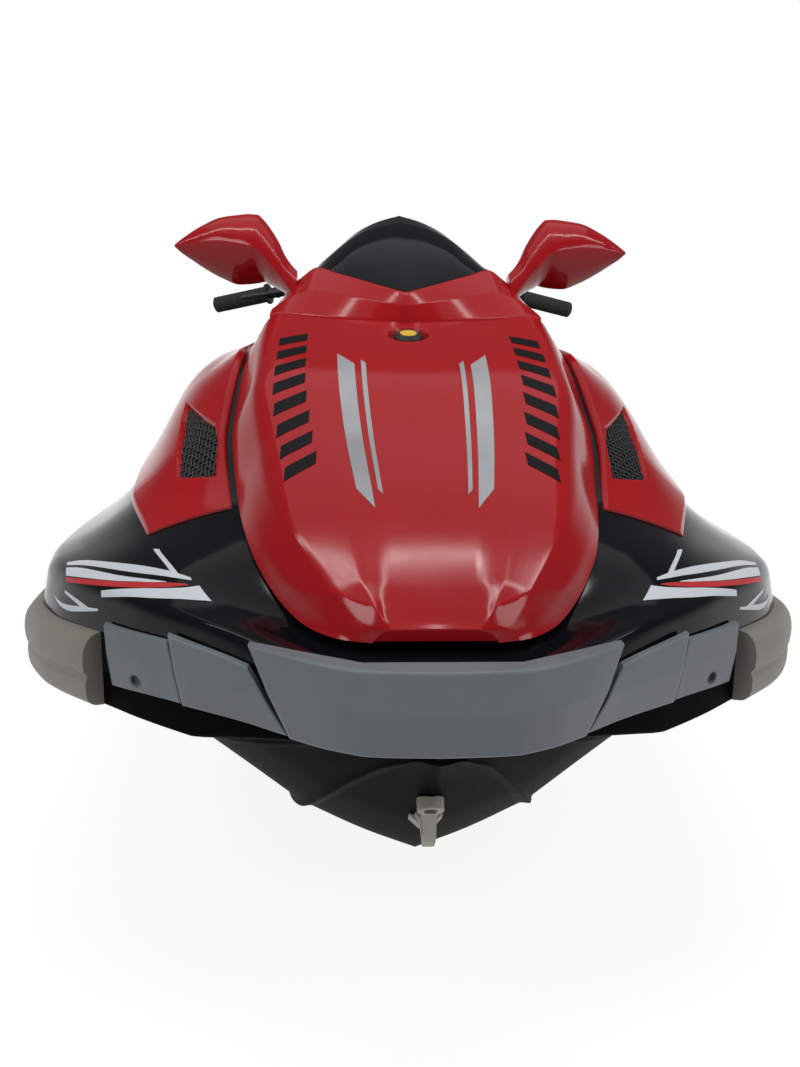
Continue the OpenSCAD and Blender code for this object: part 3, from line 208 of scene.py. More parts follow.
def stations(*runs: tuple[float, float, float]) -> Array:
    """Stations of several runs (from, to, step) in one rising list."""
    parts = [np.linspace(a, b, max(int(round((b - a) / step)), 1) + 1) for a, b, step in runs]
    return np.unique(np.round(np.concatenate(parts), 4))


def grid_faces(rows: int, cols: int, closed: bool) -> Array:
    """Corner indices of a grid's quads, (faces, 4), where closed joins the last column to the first."""
    j = np.arange(cols if closed else cols - 1)
    i = np.arange(rows - 1)[:, None] * cols
    k = (j + 1) % cols
    return np.stack([i + j, i + k, i + cols + k, i + cols + j], axis=-1).reshape(-1, 4)


def make_piece(name: str, points: Array, faces: list, sharp: float = 32.0) -> Piece:
    """Mesh object from points in millimetres.

    Args:
        name: Name of the piece.
        points: Points, (count, 3).
        faces: Lists of corner indices.
        sharp: Angle in degrees past which an edge stays sharp.

    Returns:
        The new object, with its faces turned outwards.
    """
    mesh = bpy.data.meshes.new(name)
    mesh.from_pydata((points * MM).tolist(), [], faces)
    work = bmesh.new()
    work.from_mesh(mesh)
    bmesh.ops.remove_doubles(work, verts=work.verts, dist=1e-6)
    bmesh.ops.recalc_face_normals(work, faces=work.faces)
    work.to_mesh(mesh)
    work.free()
    mesh.shade_smooth()
    mesh.set_sharp_from_angle(angle=radians(sharp))
    piece = bpy.data.objects.new(name, mesh)
    bpy.context.scene.collection.objects.link(piece)
    return piece


def loft(name: str, loops: Array, sharp: float = 32.0) -> Piece:
    """Closed piece through closed loops, (loops, points, 3), with a flat cap at each end."""
    rows, cols = loops.shape[:2]
    faces = grid_faces(rows, cols, True).tolist()
    faces += [list(range(cols)), list(range((rows - 1) * cols, rows * cols))]
    return make_piece(name, loops.reshape(-1, 3), faces, sharp)


def shell(name: str, outer: Array, inner: Array, sharp: float = 32.0) -> Piece:
    """Closed piece between two sheets of one grid shape, (rows, cols, 3), with a wall round their border."""
    rows, cols = outer.shape[:2]
    index = np.arange(rows * cols).reshape(rows, cols)
    border = np.concatenate([index[0, :-1], index[:-1, -1], index[-1, :0:-1], index[:0:-1, 0]])
    after = np.roll(border, -1)
    face = grid_faces(rows, cols, False)
    wall = np.stack([border, after, after + rows * cols, border + rows * cols], axis=-1)
    faces = np.concatenate([face, face[:, ::-1] + rows * cols, wall]).tolist()
    return make_piece(name, np.concatenate([outer.reshape(-1, 3), inner.reshape(-1, 3)]), faces, sharp)


def cut_away(piece: Piece, *tools: Piece) -> None:
    """Takes the tools' solids out of a piece and deletes them."""
    for tool in tools:
        cut = piece.modifiers.new("cut", "BOOLEAN")
        cut.operation, cut.solver, cut.object = "DIFFERENCE", "EXACT", tool
    graph = bpy.context.evaluated_depsgraph_get()
    mesh = bpy.data.meshes.new_from_object(piece.evaluated_get(graph))
    piece.modifiers.clear()
    old, piece.data = piece.data, mesh
    bpy.data.meshes.remove(old)
    for tool in tools:
        bpy.data.objects.remove(tool)


def flip(points: Array, side: Side) -> Array:
    """Points of the port side carried to a side."""
    return points * np.array([1.0, side.value, 1.0])


def ribbon(name: str, place: Callable[[Array, Array], Array], upper: tuple, lower: tuple) -> Piece:
    """Sheet of film on a surface between two edges drawn in the surface's own coordinates.

    Args:
        name: Name of the piece.
        place: Points of the surface at coordinates u and v.
        upper: Points (u, v) of one edge.
        lower: As many points of the other edge.

    Returns:
        The sheet.
    """
    edges = np.array([upper, lower], float)
    edges = finer(soft(edges, (0, *[FILM_EASE] * (len(upper) - 2), 0), 4), FILM_STEP)
    w = np.linspace(0, 1, 9)[None, :, None]
    uv = edges[0][:, None] * (1 - w) + edges[1][:, None] * w
    points = place(uv[..., 0], uv[..., 1])
    normal = unit(np.cross(np.gradient(points, axis=0), np.gradient(points, axis=1)))
    normal = normal * np.sign(normal[..., 2:].sum())
    return shell(name, points + normal * FILM_FACE, points + normal * FILM_BACK, sharp=60.0)


def tube(path: Array, radius: float, sides: int = 6) -> tuple[Array, Array]:
    """Points and quads of a thin round strand along a path, (points, 3), left open at its ends."""
    ahead = unit(np.gradient(path, axis=0))
    right = unit(np.cross(ahead, [0.1, 0.2, 1.0]))
    up = np.cross(right, ahead)
    a = np.linspace(0, 2 * np.pi, sides, endpoint=False)[None, :, None]
    ring = path[:, None] + radius * (np.cos(a) * right[:, None] + np.sin(a) * up[:, None])
    return ring.reshape(-1, 3), grid_faces(len(path), sides, True)


# Finishes


class Nodes:
    """Short way to add and link the nodes of a tree."""

    def __init__(self, tree: Tree) -> None:
        """Takes the tree that nodes are added to."""
        self.tree = tree

    def add(self, kind: str, settings: dict | None = None, **inputs) -> Node:
        """Adds a node.

        Args:
            kind: Node type without its "ShaderNode".
            settings: Properties of the node.
            **inputs: Values or output sockets by input name, with _ for a space, or by index as i0, i1.

        Returns:
            The node.
        """
        node = self.tree.nodes.new(kind if kind.startswith("Node") else "ShaderNode" + kind)
        for key, value in (settings or {}).items():
            setattr(node, key, value)
        for key, value in inputs.items():
            place = int(key[1:]) if key[0] == "i" and key[1:].isdigit() else key.replace("_", " ")
            if isinstance(value, Socket):
                self.link(value, node.inputs[place])
            else:
                node.inputs[place].default_value = value
        return node

    def link(self, a: Socket, b: Socket) -> None:
        """Links an output to an input."""
        self.tree.links.new(a, b)

    def math(self, operation: str, a, b=0.0) -> Socket:
        """Output of a math node."""
        return self.add("Math", {"operation": operation}, i0=a, i1=b).outputs[0]


def rgba(colour: tuple[float, float, float]) -> tuple[float, float, float, float]:
    """Colour with full alpha."""
    return (*colour, 1.0)


def new_group(name: str, scale: float, outputs: tuple[str, ...]) -> tuple[Nodes, Node, Node]:
    """Starts a shader node group with the inputs Vector and Scale.

    Args:
        name: Name of the group.
        scale: Default of its scale.
        outputs: Float outputs.

    Returns:
        Its nodes, its input node and its output node.
    """
    tree = bpy.data.node_groups.new(name, "ShaderNodeTree")
    tree.interface.new_socket("Vector", in_out="INPUT", socket_type="NodeSocketVector")
    tree.interface.new_socket("Scale", in_out="INPUT", socket_type="NodeSocketFloat").default_value = scale
    for key in outputs:
        tree.interface.new_socket(key, in_out="OUTPUT", socket_type="NodeSocketFloat")
    nodes = Nodes(tree)
    return nodes, nodes.add("NodeGroupInput"), nodes.add("NodeGroupOutput")


CELL_SHARE, NOISE_SHARE = 0.7, 0.5
STREAK = (9.0, 60.0, 60.0)
MARKS_FROM, MARKS_TO = 0.3, 0.7


def grain_group() -> Tree:
    """Moulded grain: cells at a scale, softened by noise, as a height from 0 to 1."""
    nodes, start, end = new_group("moulded_grain", 900.0, ("Height",))
    place, scale = start.outputs[0], start.outputs[1]
    cells = nodes.add("TexVoronoi", {"feature": "SMOOTH_F1"}, Vector=place, Scale=scale)
    noise = nodes.add("TexNoise", Vector=place, Scale=scale, Detail=2.0)
    both = nodes.math("ADD", nodes.math("MULTIPLY", cells.outputs["Distance"], CELL_SHARE),
                      nodes.math("MULTIPLY", noise.outputs[0], NOISE_SHARE))
    nodes.link(both, end.inputs[0])
    return nodes.tree


def mottle_group() -> Tree:
    """Uneven handling marks: a broad mask and a fine streaky one, each from 0 to 1."""
    nodes, start, end = new_group("handling_marks", 4.0, ("Broad", "Fine"))
    place, scale = start.outputs[0], start.outputs[1]
    broad = nodes.add("TexNoise", Vector=place, Scale=scale, Detail=4.0, Roughness=0.6)
    stretch = nodes.add("Mapping", Vector=place, Scale=STREAK)
    fine = nodes.add("TexNoise", Vector=stretch.outputs[0], Scale=scale, Detail=3.0)
    for i, noise in enumerate((broad, fine)):
        level = nodes.add("MapRange", Value=noise.outputs[0], From_Min=MARKS_FROM, From_Max=MARKS_TO)
        nodes.link(level.outputs[0], end.inputs[i])
    return nodes.tree


BUMP_HEIGHT = 0.0006
COAT_ROUGHNESS = 0.03
LEAST_ROUGHNESS = 0.02


@dataclass(frozen=True)
class Finish:
    """A finish of one colour with its marks, grain and gloss."""

    name: str
    colour: tuple[float, float, float]
    roughness: float
    metallic: float = 0.0
    coat: float = 0.0
    shift: float = 0.12
    grain: float = 0.0
    grain_scale: float = 900.0
    spread: float = 0.05
    ior: float = 1.45

    def build(self, groups: dict[str, Tree]) -> bpy.types.Material:
        """Material whose colour and roughness vary with the handling marks, with the grain as bump.

        Args:
            groups: Shader node groups by name.

        Returns:
            The material.
        """
        material = bpy.data.materials.new(self.name)
        material.use_nodes = True
        nodes = Nodes(material.node_tree)
        shader = material.node_tree.nodes["Principled BSDF"]
        place = nodes.add("TexCoord").outputs["Object"]
        marks = nodes.add("Group", {"node_tree": groups["mottle"]}, Vector=place)
        dark = tuple(c * (1 - self.shift) for c in self.colour)
        light = tuple(min(c * (1 + self.shift), 1.0) for c in self.colour)
        mix = nodes.add("Mix", {"data_type": "RGBA"}, Factor=marks.outputs["Broad"])
        mix.inputs[6].default_value, mix.inputs[7].default_value = rgba(dark), rgba(light)
        nodes.link(mix.outputs[2], shader.inputs["Base Color"])
        rough = nodes.add("MapRange", Value=marks.outputs["Fine"], To_Max=self.roughness + self.spread,
                          To_Min=max(self.roughness - self.spread, LEAST_ROUGHNESS))
        nodes.link(rough.outputs[0], shader.inputs["Roughness"])
        fixed = {"Metallic": self.metallic, "Coat Weight": self.coat, "Coat Roughness": COAT_ROUGHNESS,
                 "IOR": self.ior}
        for key, value in fixed.items():
            shader.inputs[key].default_value = value
        if self.grain:
            grain = nodes.add("Group", {"node_tree": groups["grain"]}, Vector=place, Scale=self.grain_scale)
            bump = nodes.add("Bump", Height=grain.outputs[0], Strength=self.grain, Distance=BUMP_HEIGHT)
            nodes.link(bump.outputs[0], shader.inputs["Normal"])
        return material


FINISHES = (
    Finish("black_gelcoat", (0.004, 0.0045, 0.0055), 0.1, spread=0.03, ior=1.26),
    Finish("red_gelcoat", (0.31, 0.007, 0.01), 0.12, shift=0.05, spread=0.03, ior=1.31),
    Finish("rail_rubber", (0.185, 0.172, 0.15), 0.5, grain=0.35, grain_scale=700),
    Finish("bumper_plastic", (0.12, 0.138, 0.15), 0.42, grain=0.3, grain_scale=1100),
    # The cast eye's off-white is darkened here to paint the shade that it sits in.
    Finish("cast_eye", (0.36, 0.35, 0.31), 0.5, grain=0.5, grain_scale=380),
    Finish("vent_mesh", (0.012, 0.012, 0.014), 0.5, grain=0.6, grain_scale=300),
    Finish("smoked_screen", (0.004, 0.005, 0.0075), 0.08, spread=0.02, ior=1.24),
    Finish("mirror_glass", (0.7, 0.74, 0.77), 0.03, metallic=1.0, shift=0.02, spread=0.01),
    Finish("black_plastic", (0.016, 0.016, 0.018), 0.5, grain=0.45),
    Finish("gauge_face", (0.006, 0.007, 0.009), 0.12, coat=0.8),
    Finish("bin_plastic", (0.03, 0.031, 0.034), 0.6, grain=0.5),
    Finish("seat_vinyl", (0.014, 0.014, 0.016), 0.45, grain=0.55, grain_scale=620),
    Finish("mat_foam", (0.028, 0.029, 0.031), 0.8, grain=0.7, grain_scale=500),
    Finish("pump_alloy", (0.32, 0.33, 0.34), 0.45, metallic=0.9, grain=0.4, grain_scale=420),
    Finish("steel", (0.55, 0.56, 0.57), 0.25, metallic=1.0),
    Finish("engine_block", (0.15, 0.16, 0.17), 0.6, metallic=0.6, grain=0.4),
    Finish("knob_inlay", (0.66, 0.42, 0.03), 0.3, coat=0.4),
    Finish("bar_metal", (0.03, 0.031, 0.035), 0.35, metallic=0.4),
    Finish("grip_rubber", (0.008, 0.008, 0.009), 0.6, grain=0.5, grain_scale=450),
    Finish("decal_white", (0.5, 0.53, 0.57), 0.4, shift=0.03, spread=0.01),
    Finish("decal_red", (0.42, 0.012, 0.016), 0.4, shift=0.03, spread=0.01),
    Finish("decal_silver", (0.3, 0.3, 0.31), 0.45, metallic=0.2, shift=0.25),
    Finish("decal_black", (0.004, 0.004, 0.005), 0.4, ior=1.2),
    Finish("hull_gelcoat", (0.003, 0.0032, 0.0036), 0.5, spread=0.03, ior=1.05),
)


# Cast tow eye: grid of its skin in metres, then the share and passes of its smoothing
CAST_GRID, CAST_EASE, CAST_PASSES = 0.0009, 0.5, 12


class Paintshop:
    """Makes every finish once and dresses pieces with it."""

    def __init__(self) -> None:
        """Builds the shared groups and the finishes."""
        groups = {"grain": grain_group(), "mottle": mottle_group()}
        self.materials = {f.name: f.build(groups) for f in FINISHES}

    def dress(self, piece: Piece, slot: str, body: Body = Body.CRAFT, stands_for: tuple[str, ...] = (),
              finish: str = "") -> None:
        """Gives a new piece its finish and its body.

        Args:
            piece: The piece.
            slot: Name of the record's material slot, which is also the finish's name.
            body: Body that it rides on.
            stands_for: CAD nodes that it stands for.
            finish: Name of the finish where it differs from the slot's.
        """
        piece.data.materials.clear()
        piece.data.materials.append(self.materials[finish or slot])
        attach(piece, body.value)
        if stands_for:
            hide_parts(*stands_for)
        LOG.info("piece %s: %d faces, %s", piece.name, len(piece.data.polygons), slot)

    def dress_nodes(self) -> None:
        """Gives each CAD node the finish of its material slot."""
        for row in frame["record"]["subparts"]:
            node = frame["nodes"][row["node"]]
            material = self.materials[row["material_slot"]]
            if node.material_slots:
                for place in node.material_slots:
                    place.material = material
            else:
                node.data.materials.append(material)

    @staticmethod
    def soften_casting() -> None:
        """Rounds the edges of the cast tow eye, as they leave the mould."""
        node = frame["nodes"]["tow_eye"]
        skin = node.modifiers.new("skin", "REMESH")
        skin.mode, skin.voxel_size, skin.use_smooth_shade = "VOXEL", CAST_GRID, True
        ease = node.modifiers.new("ease", "SMOOTH")
        ease.factor, ease.iterations = CAST_EASE, CAST_PASSES


# Lines plan

STERN, BOW = -1610.0, 1605.0
FLANGE, FLANGE_SLOPE, WELL_CROWN, BOND_GAP = 45.0, 15.0, 1.0, 0.5
RAIL_DEPTH, RAIL_HEIGHT = 28.0, 98.0
RAIL_DOWN = RAIL_HEIGHT * 0.46
RAIL_UP = RAIL_HEIGHT - RAIL_DOWN
SEAT_GAP = 0.4
HULL_STEPS, CORNER_STEPS = 6, 9
HULL_RADII = (0, 70, 4, 3, 4, 70, 8, 4, 4, 60, 4, 3, 2, 0, 0, 0)
DECK_RADII = (0, 0, 0, 0, 0, 16, 34, 46, 46, 12, 0)
# The strake's place as a share of the chine's half width; then the strake's width, the bottom's hollow and the
# chine's depth, each with its most as such a share
STRAKE_AT = 0.52
STRAKE, HOLLOW, CHINE = (16, 0.2), (26, 0.09), (10, 0.05)

# Station, keel z, chine y, chine z, bond y, bond z
HULL = Lines((
    (-1610, -268, 418, -108, 455, 125), (-1595, -268, 434, -108, 492, 125), (-1560, -270, 446, -109, 522, 125),
    (-1450, -274, 455, -110, 550, 126), (-900, -280, 470, -112, 574, 128), (-100, -280, 472, -104, 583, 134),
    (500, -274, 448, -74, 583, 144), (900, -240, 395, -20, 573, 160), (1150, -176, 336, 28, 550, 172),
    (1250, -132, 300, 55, 508, 178), (1390, -24, 226, 104, 386, 188), (1470, 50, 166, 136, 291, 190),
    (1550, 122, 96, 166, 178, 192), (1605, 165, 40, 182, 84, 193)))
# Station, drop of the well below the bond line
WELL = Lines(((-1610, 20), (-1140, 24), (-1040, 92), (700, 92), (1100, 70), (1450, 20), (1605, 12)))
# Station, top z, then y and z of edge, foot, outer corner and coaming, then the crease's inset and z
DECK = Lines((
    (-1610, 178, 140, 177.2, 175, 176.6, 340, 172.5, 400, 171, 16, 169),
    (-1560, 180, 140, 179.2, 175, 178.6, 400, 173, 460, 172.5, 18, 171),
    (-1450, 182, 140, 181.2, 180, 180.4, 432, 176, 484, 178, 20, 175),
    (-1240, 186, 140, 185.2, 190, 184.3, 435, 180, 495, 185, 20, 179),
    (-1160, 400, 150, 396, 205, 182, 440, 176, 500, 192, 19, 186),
    (-1020, 405, 158, 400, 222, 84, 450, 80, 508, 207, 18, 199),
    (-850, 404, 160, 398, 226, 58, 455, 56, 516, 213, 16, 206),
    (0, 385, 162, 380, 228, 56, 455, 56, 528, 228, 12, 220),
    (300, 390, 165, 385, 230, 60, 452, 60, 528, 238, 11, 230),
    (430, 500, 175, 494, 240, 66, 446, 66, 526, 248, 10, 240),
    (520, 575, 205, 568, 270, 110, 440, 110, 520, 258, 9, 250),
    (640, 598, 248, 592, 345, 560, 425, 440, 500, 322, 8, 264),
    (760, 590, 266, 586, 368, 540, 432, 420, 500, 326, 6, 274),
    (850, 582, 272, 582, 374, 508, 436, 398, 500, 322, 4, 278),
    (1050, 474, 282, 474, 352, 440, 424, 366, 490, 316, 4, 282),
    (1200, 388, 262, 388, 318, 372, 380, 346, 440, 314, 14, 286),
    (1350, 336, 228, 336, 272, 332, 318, 322, 358, 308, 18, 290),
    (1470, 270, 158, 270, 190, 278, 220, 285, 244, 287, 18, 286),
    (1550, 258, 84, 258, 102, 261, 124, 265, 140, 267, 16, 266),
    (1605, 253, 30, 252, 40, 253, 50, 254.5, 58, 254, 14, 252)))
TOP_Z, EDGE_Y, EDGE_Z = 1, 2, 3


def flange(x: Array) -> Array:
    """Width of the bond flange: its full width, or 0.4 of the half beam where that is less."""
    return np.minimum(FLANGE, HULL.at(4, x) * 0.4)


def hull_half(x: Array) -> Array:
    """Half sections of the hull from keel to well: V bottom, strake, chine, flared topside and bond flange.

    The bottom is the straight line from keel to chine, hollowed by a sag, and the strake stands out of it.

    Args:
        x: Stations.

    Returns:
        Half sections, (stations, points, 2).
    """
    k, cy, cz, by, bz = (HULL.at(c, x) for c in range(1, 6))
    s, sy, o = (cz - k) / cy, STRAKE_AT * cy, np.zeros_like(x)
    w, sag, d = (np.minimum(size, cy * most) for size, most in (STRAKE, HOLLOW, CHINE))
    low = np.maximum(bz - RAIL_DOWN, cz + 8)
    well, f = bz - WELL.at(1, x), flange(x)
    corners = [
        (o, k), (sy * 0.5, k + s * sy * 0.5 - sag * 0.7), (sy, k + s * sy - sag),
        (sy + w, k + s * sy - sag - d * 0.2), (sy + w, k + s * sy - sag + d),
        (cy * 0.8, k + s * cy * 0.8 - sag * 0.5), (cy - w * 0.6, cz - d), (cy, cz - d * 0.5),
        (cy + 3, cz + d * 0.3), (cy + (by - cy) * 0.42, cz + (low - cz) * 0.55), (by - 7, low - 2), (by, low),
        (by, bz), (by - f, bz),
        (by - f - FLANGE_SLOPE, well), (o, well + WELL_CROWN)]
    return rounded(corners, HULL_RADII, HULL_STEPS)


def deck_half(x: Array) -> Array:
    """Half sections of the deck from its underside over bond flange, shoulder and footwell to the top centre.

    Args:
        x: Stations.

    Returns:
        Half sections, (stations, points, 2).
    """
    by, bz = HULL.at(4, x), HULL.at(5, x) + BOND_GAP
    wz, f, o = bz - WELL.at(1, x), flange(x), np.zeros_like(x)
    c = [DECK.at(i, x) for i in range(12)]
    corners = [
        (o, wz + WELL_CROWN), (by - f - FLANGE_SLOPE, wz), (by - f, bz), (by, bz),
        (by, np.minimum(bz + RAIL_UP, c[11] - 2)), (by - c[10], c[11]), (c[8], c[9]), (c[6], c[7]),
        (c[4], c[5]), (c[2], c[3]), (o, c[1])]
    return rounded(corners, DECK_RADII, CORNER_STEPS)


# First points of the rail wall's top, the outer corner and the rim in a half section, and the slope's end
WALL_AT = 4
OUT_AT = WALL_AT + 1 + 2 * (CORNER_STEPS + 1)
RIM_AT = OUT_AT + 2 * (CORNER_STEPS + 1)
SLOPE_END = RIM_AT + 4
# Outline of the vent as (y, z) in front view, its half widths, and the way out of it
VENT = np.array(((364, 492), (300, 467), (292, 445), (289, 402), (349, 394), (356, 425), (363, 465)), float)
VENT_IN, VENT_OUTER = VENT[:, 0].min(), VENT[:, 0].max()
VENT_OUT = unit(np.array([0.45, 0.5, 0.74]))


@dataclass
class Hull:
    """Hull and gunwale rail."""

    tunnel_width: float = 322.0
    tunnel_length: float = 460.0
    pump_z: float = -115.0
    pump_bore: float = 158.0
    intake_width: float = 170.0
    intake_length: float = 430.0
    intake_lead: float = 40.0
    duct_lead: float = 18.0
    below: float = -330.0
    rail_end: float = 1362.0
    runs: tuple = ((STERN, -1560, 5), (-1560, -1400, 16), (-1400, 700, 35), (700, BOW, 9))
    # Outline of the rail as shares of its depth and height, and the radii of its corners
    rail_shape: tuple = ((0, 0), (0.62, 0.03), (0.9, 0.16), (0.9, 0.36), (0.8, 0.42), (0.8, 0.46), (0.95, 0.5),
                         (1, 0.66), (0.9, 0.84), (0.55, 0.97), (0, 1))
    rail_radii: tuple = (0, 8, 8, 5, 2, 2, 4, 9, 9, 9, 0)

    def tunnel(self) -> Piece:
        """Arched tool for the pump tunnel: straight sides below the pump's centre, half a circle above."""
        r, a = self.tunnel_width / 2, np.linspace(0, np.pi, 33)
        arch = np.stack([r * np.cos(a), self.pump_z + r * np.sin(a)], axis=-1)
        section = np.concatenate([[[-r, self.below], [r, self.below]], arch])
        x = np.array([STERN - 40, STERN + self.tunnel_length])
        return loft("tunnel_tool", across_x(x, np.repeat(section[None], 2, axis=0)))

    def duct(self) -> Piece:
        """Tool for the intake: a circle at the pump carried on straight lines to the slot in the bottom."""
        a, r = np.linspace(0, 2 * np.pi, 48, endpoint=False), self.pump_bore / 2
        fore, run = STERN + self.tunnel_length, self.intake_length - self.intake_lead
        ring = np.stack([np.full_like(a, fore - 1), r * np.cos(a), self.pump_z + r * np.sin(a)], axis=-1)
        across = self.intake_width / 2 * np.clip(1.5 * np.cos(a), -1, 1)
        along = fore + self.intake_lead + run * (0.5 + 0.5 * np.sin(a))
        slot = np.stack([along, across, np.full_like(a, self.below)], axis=-1)
        return loft("duct_tool", np.stack([ring, ring + [self.duct_lead, 0, 0], slot]))

    def build(self, shop: Paintshop) -> None:
        """Lofts the hull on close stations, cuts the jet's way and runs the rail round it."""
        x = stations(*self.runs)
        hull = loft("hull_skin", across_x(x, both_sides(finer(hull_half(x), 45.0))))
        cut_away(hull, self.tunnel(), self.duct())
        shop.dress(hull, "black_gelcoat", stands_for=("hull_shell",), finish="hull_gelcoat")
        shop.dress(self.rail(), "rail_rubber", stands_for=("gunwale_rail",))

    def rail(self) -> Piece:
        """Rail: its grooved outline carried along the bond line, square to it in plan."""
        x = stations((STERN, -1560, 5), (-1560, 1000, 25), (1000, self.rail_end, 8))
        y = HULL.at(4, x)
        slope = np.gradient(y, x)
        normal = unit(np.stack([-slope, np.ones_like(x)], axis=-1))
        turn = np.linspace(0, 1, 9)[1:-1, None]
        corner = unit(np.array([[-1.0, 0.0]]) * (1 - turn) + normal[:1] * turn)
        across = np.linspace(0, y[0], 12)[1:]
        port_xy = np.concatenate([np.stack([np.full_like(across, STERN), across], axis=-1),
                                  np.repeat([[STERN, y[0]]], len(corner), axis=0), np.stack([x, y], axis=-1)])
        port_n = np.concatenate([np.repeat([[-1.0, 0.0]], len(across), axis=0), corner, normal])
        xy, n = (np.concatenate([port[::-1] * -OTHER_HALF, middle, port])
                 for port, middle in ((port_xy, [[STERN, 0.0]]), (port_n, [[-1.0, 0.0]])))
        shape = soft(np.array([self.rail_shape]) * [RAIL_DEPTH, RAIL_HEIGHT], self.rail_radii, 5)[0]
        d = SEAT_GAP + shape[None, :, :1]
        z = HULL.at(5, xy[:, 0])[:, None, None] - RAIL_DOWN + shape[None, :, 1:]
        return loft("rail_skin", np.concatenate([xy[:, None] + n[:, None] * d, z], axis=-1))


@dataclass
class Deck:
    """Deck with its footwells and shoulders, and the side panels on it."""

    runs: tuple = ((STERN, -1560, 6), (-1560, -1240, 20), (-1240, -1000, 8), (-1000, 300, 40), (300, 700, 8),
                   (700, BOW, 9))
    panel_aft: float = 640.0
    panel_mid: float = 900.0
    panel_fore: float = 1230.0
    panel_wall: float = 12.0
    panel_least: float = 0.6
    panel_edge: float = 5.0
    # Share of the wall at the panel's ends, and the lengths over which it grows from there
    thin: float = 0.25
    thin_aft: float = 100.0
    thin_fore: float = 200.0
    vent_wall: float = 6.0
    vent_x: tuple = (930.0, 1222.0)
    vent_reach: tuple = (284.0, 368.0)
    weave_along: float = 8.5
    weave_across: float = 6.5
    weave_rise: float = 3.2
    weave_wave: float = 1.1
    weave_over: float = 2.5
    strand: float = 1.7
    # Sheet of painted shade under the weave, standing for the shaded opening behind the mesh: the rise of its
    # two faces, and its inset from the vent's edge
    shade_sheet_rise: tuple = (1.6, 1.2)
    shade_sheet_edge: float = 0.5
    bin_x: float = 1085.0
    bin_length: float = 330.0
    bin_width: float = 340.0
    bin_corner: float = 40.0
    bin_floor: float = 191.0
    bin_top: float = 900.0

    def bin_tool(self) -> Piece:
        """Tool for the bin's mouth: a rectangle with quarter-circle corners drawn up from the floor."""
        a = np.linspace(0, 2 * np.pi, 64, endpoint=False) + np.pi / 64
        away = np.stack([np.cos(a), np.sin(a)], axis=-1)
        flat = np.array([self.bin_length, self.bin_width]) / 2 - self.bin_corner
        xy = np.array([self.bin_x, 0.0]) + np.sign(away) * flat + self.bin_corner * away
        return loft("bin_tool", np.stack([np.insert(xy, 2, z, axis=1) for z in (self.bin_floor, self.bin_top)]))

    def build(self, shop: Paintshop) -> None:
        """Lofts the deck on close stations, opens the bin's mouth and lays the side panels."""
        x = stations(*self.runs)
        deck = loft("deck_skin", across_x(x, both_sides(finer(deck_half(x), 60.0))), sharp=40.0)
        cut_away(deck, self.bin_tool())
        shop.dress(deck, "black_gelcoat", stands_for=("deck",))
        for side in Side:
            shop.dress(self.panel(side), "red_gelcoat", stands_for=(f"side_panel_{side.word}",))
            # The second piece is a dark sheet of painted shade in the vent's opening behind the mesh.
            for piece in (self.weave(side), self.painted_shade_sheet(side)):
                shop.dress(piece, "vent_mesh", stands_for=(f"vent_mesh_{side.word}",))
            for stripe in STRIPES:
                name = f"stripe_{stripe.name}_{side.word}"
                film = ribbon(name, lambda u, v: flip(self.shoulder(u, v), side), stripe.upper, stripe.lower)
                shop.dress(film, stripe.finish)

    @staticmethod
    def inside_vent(y: Array, z: Array) -> Array:
        """Depth inside the vent's outline in front view: the least distance to its edges, negative outside."""
        depth = np.full(y.shape, np.inf)
        for a, b in zip(VENT, np.roll(VENT, -1, axis=0)):
            edge = (b - a) / np.linalg.norm(b - a)
            depth = np.minimum(depth, edge[0] * (z - a[1]) - edge[1] * (y - a[0]))
        return depth

    @staticmethod
    def shoulder(x: Array, reach: Array) -> Array:
        """Points of the deck at stations x and at lengths along its half section from the rail wall's top."""
        half = deck_half(x.ravel())[:, WALL_AT:]
        along = np.cumsum(np.linalg.norm(np.diff(half, axis=1, prepend=half[:, :1]), axis=-1), axis=1)
        yz = [[np.interp(r, a, line[:, k]) for k in (0, 1)] for r, a, line in zip(reach.ravel(), along, half)]
        return np.concatenate([x[..., None], np.reshape(yz, x.shape + (2,))], axis=-1)

    @staticmethod
    def slope(x: Array, y: Array) -> Array:
        """Points of the panel's ground at stations x and half widths y."""
        lines = deck_half(x.ravel())[:, OUT_AT:SLOPE_END]
        z = [np.interp(b, line[::-1, 0], line[::-1, 1]) for b, line in zip(y.ravel(), lines)]
        return np.stack([x, y, np.reshape(z, x.shape)], axis=-1)

    def weave(self, side: Side) -> Piece:
        """Woven vent mesh: strands along and across that pass over one another as cos(pi s / pitch)."""
        points, faces, count = [], [], 0
        runs = [(np.arange(*self.vent_x, 2.5), y, 0) for y in np.arange(VENT_IN, VENT_OUTER, self.weave_across)]
        runs += [(x, np.arange(*self.vent_reach, 1.5), 1) for x in np.arange(*self.vent_x, self.weave_along)]
        for x, y, turn in runs:
            x, y = np.broadcast_arrays(np.asarray(x, float), np.asarray(y, float))
            places = (x / self.weave_along, (y - VENT_IN) / self.weave_across)
            own, other = places[1 - turn], places[turn]
            wave = np.cos(np.pi * (other + np.round(own[0])))
            rise = self.weave_rise + (-1.0) ** turn * self.weave_wave * wave
            path = self.slope(x, y) + rise[:, None] * VENT_OUT
            path = path[self.inside_vent(path[:, 1], path[:, 2]) > -self.weave_over]
            if len(path) > 3:
                ring, quads = tube(flip(path, side), self.strand)
                points.append(ring)
                faces.append(quads + count)
                count += len(ring)
        quads = np.concatenate(faces).tolist()
        return make_piece(f"vent_weave_{side.word}", np.concatenate(points), quads, sharp=60.0)

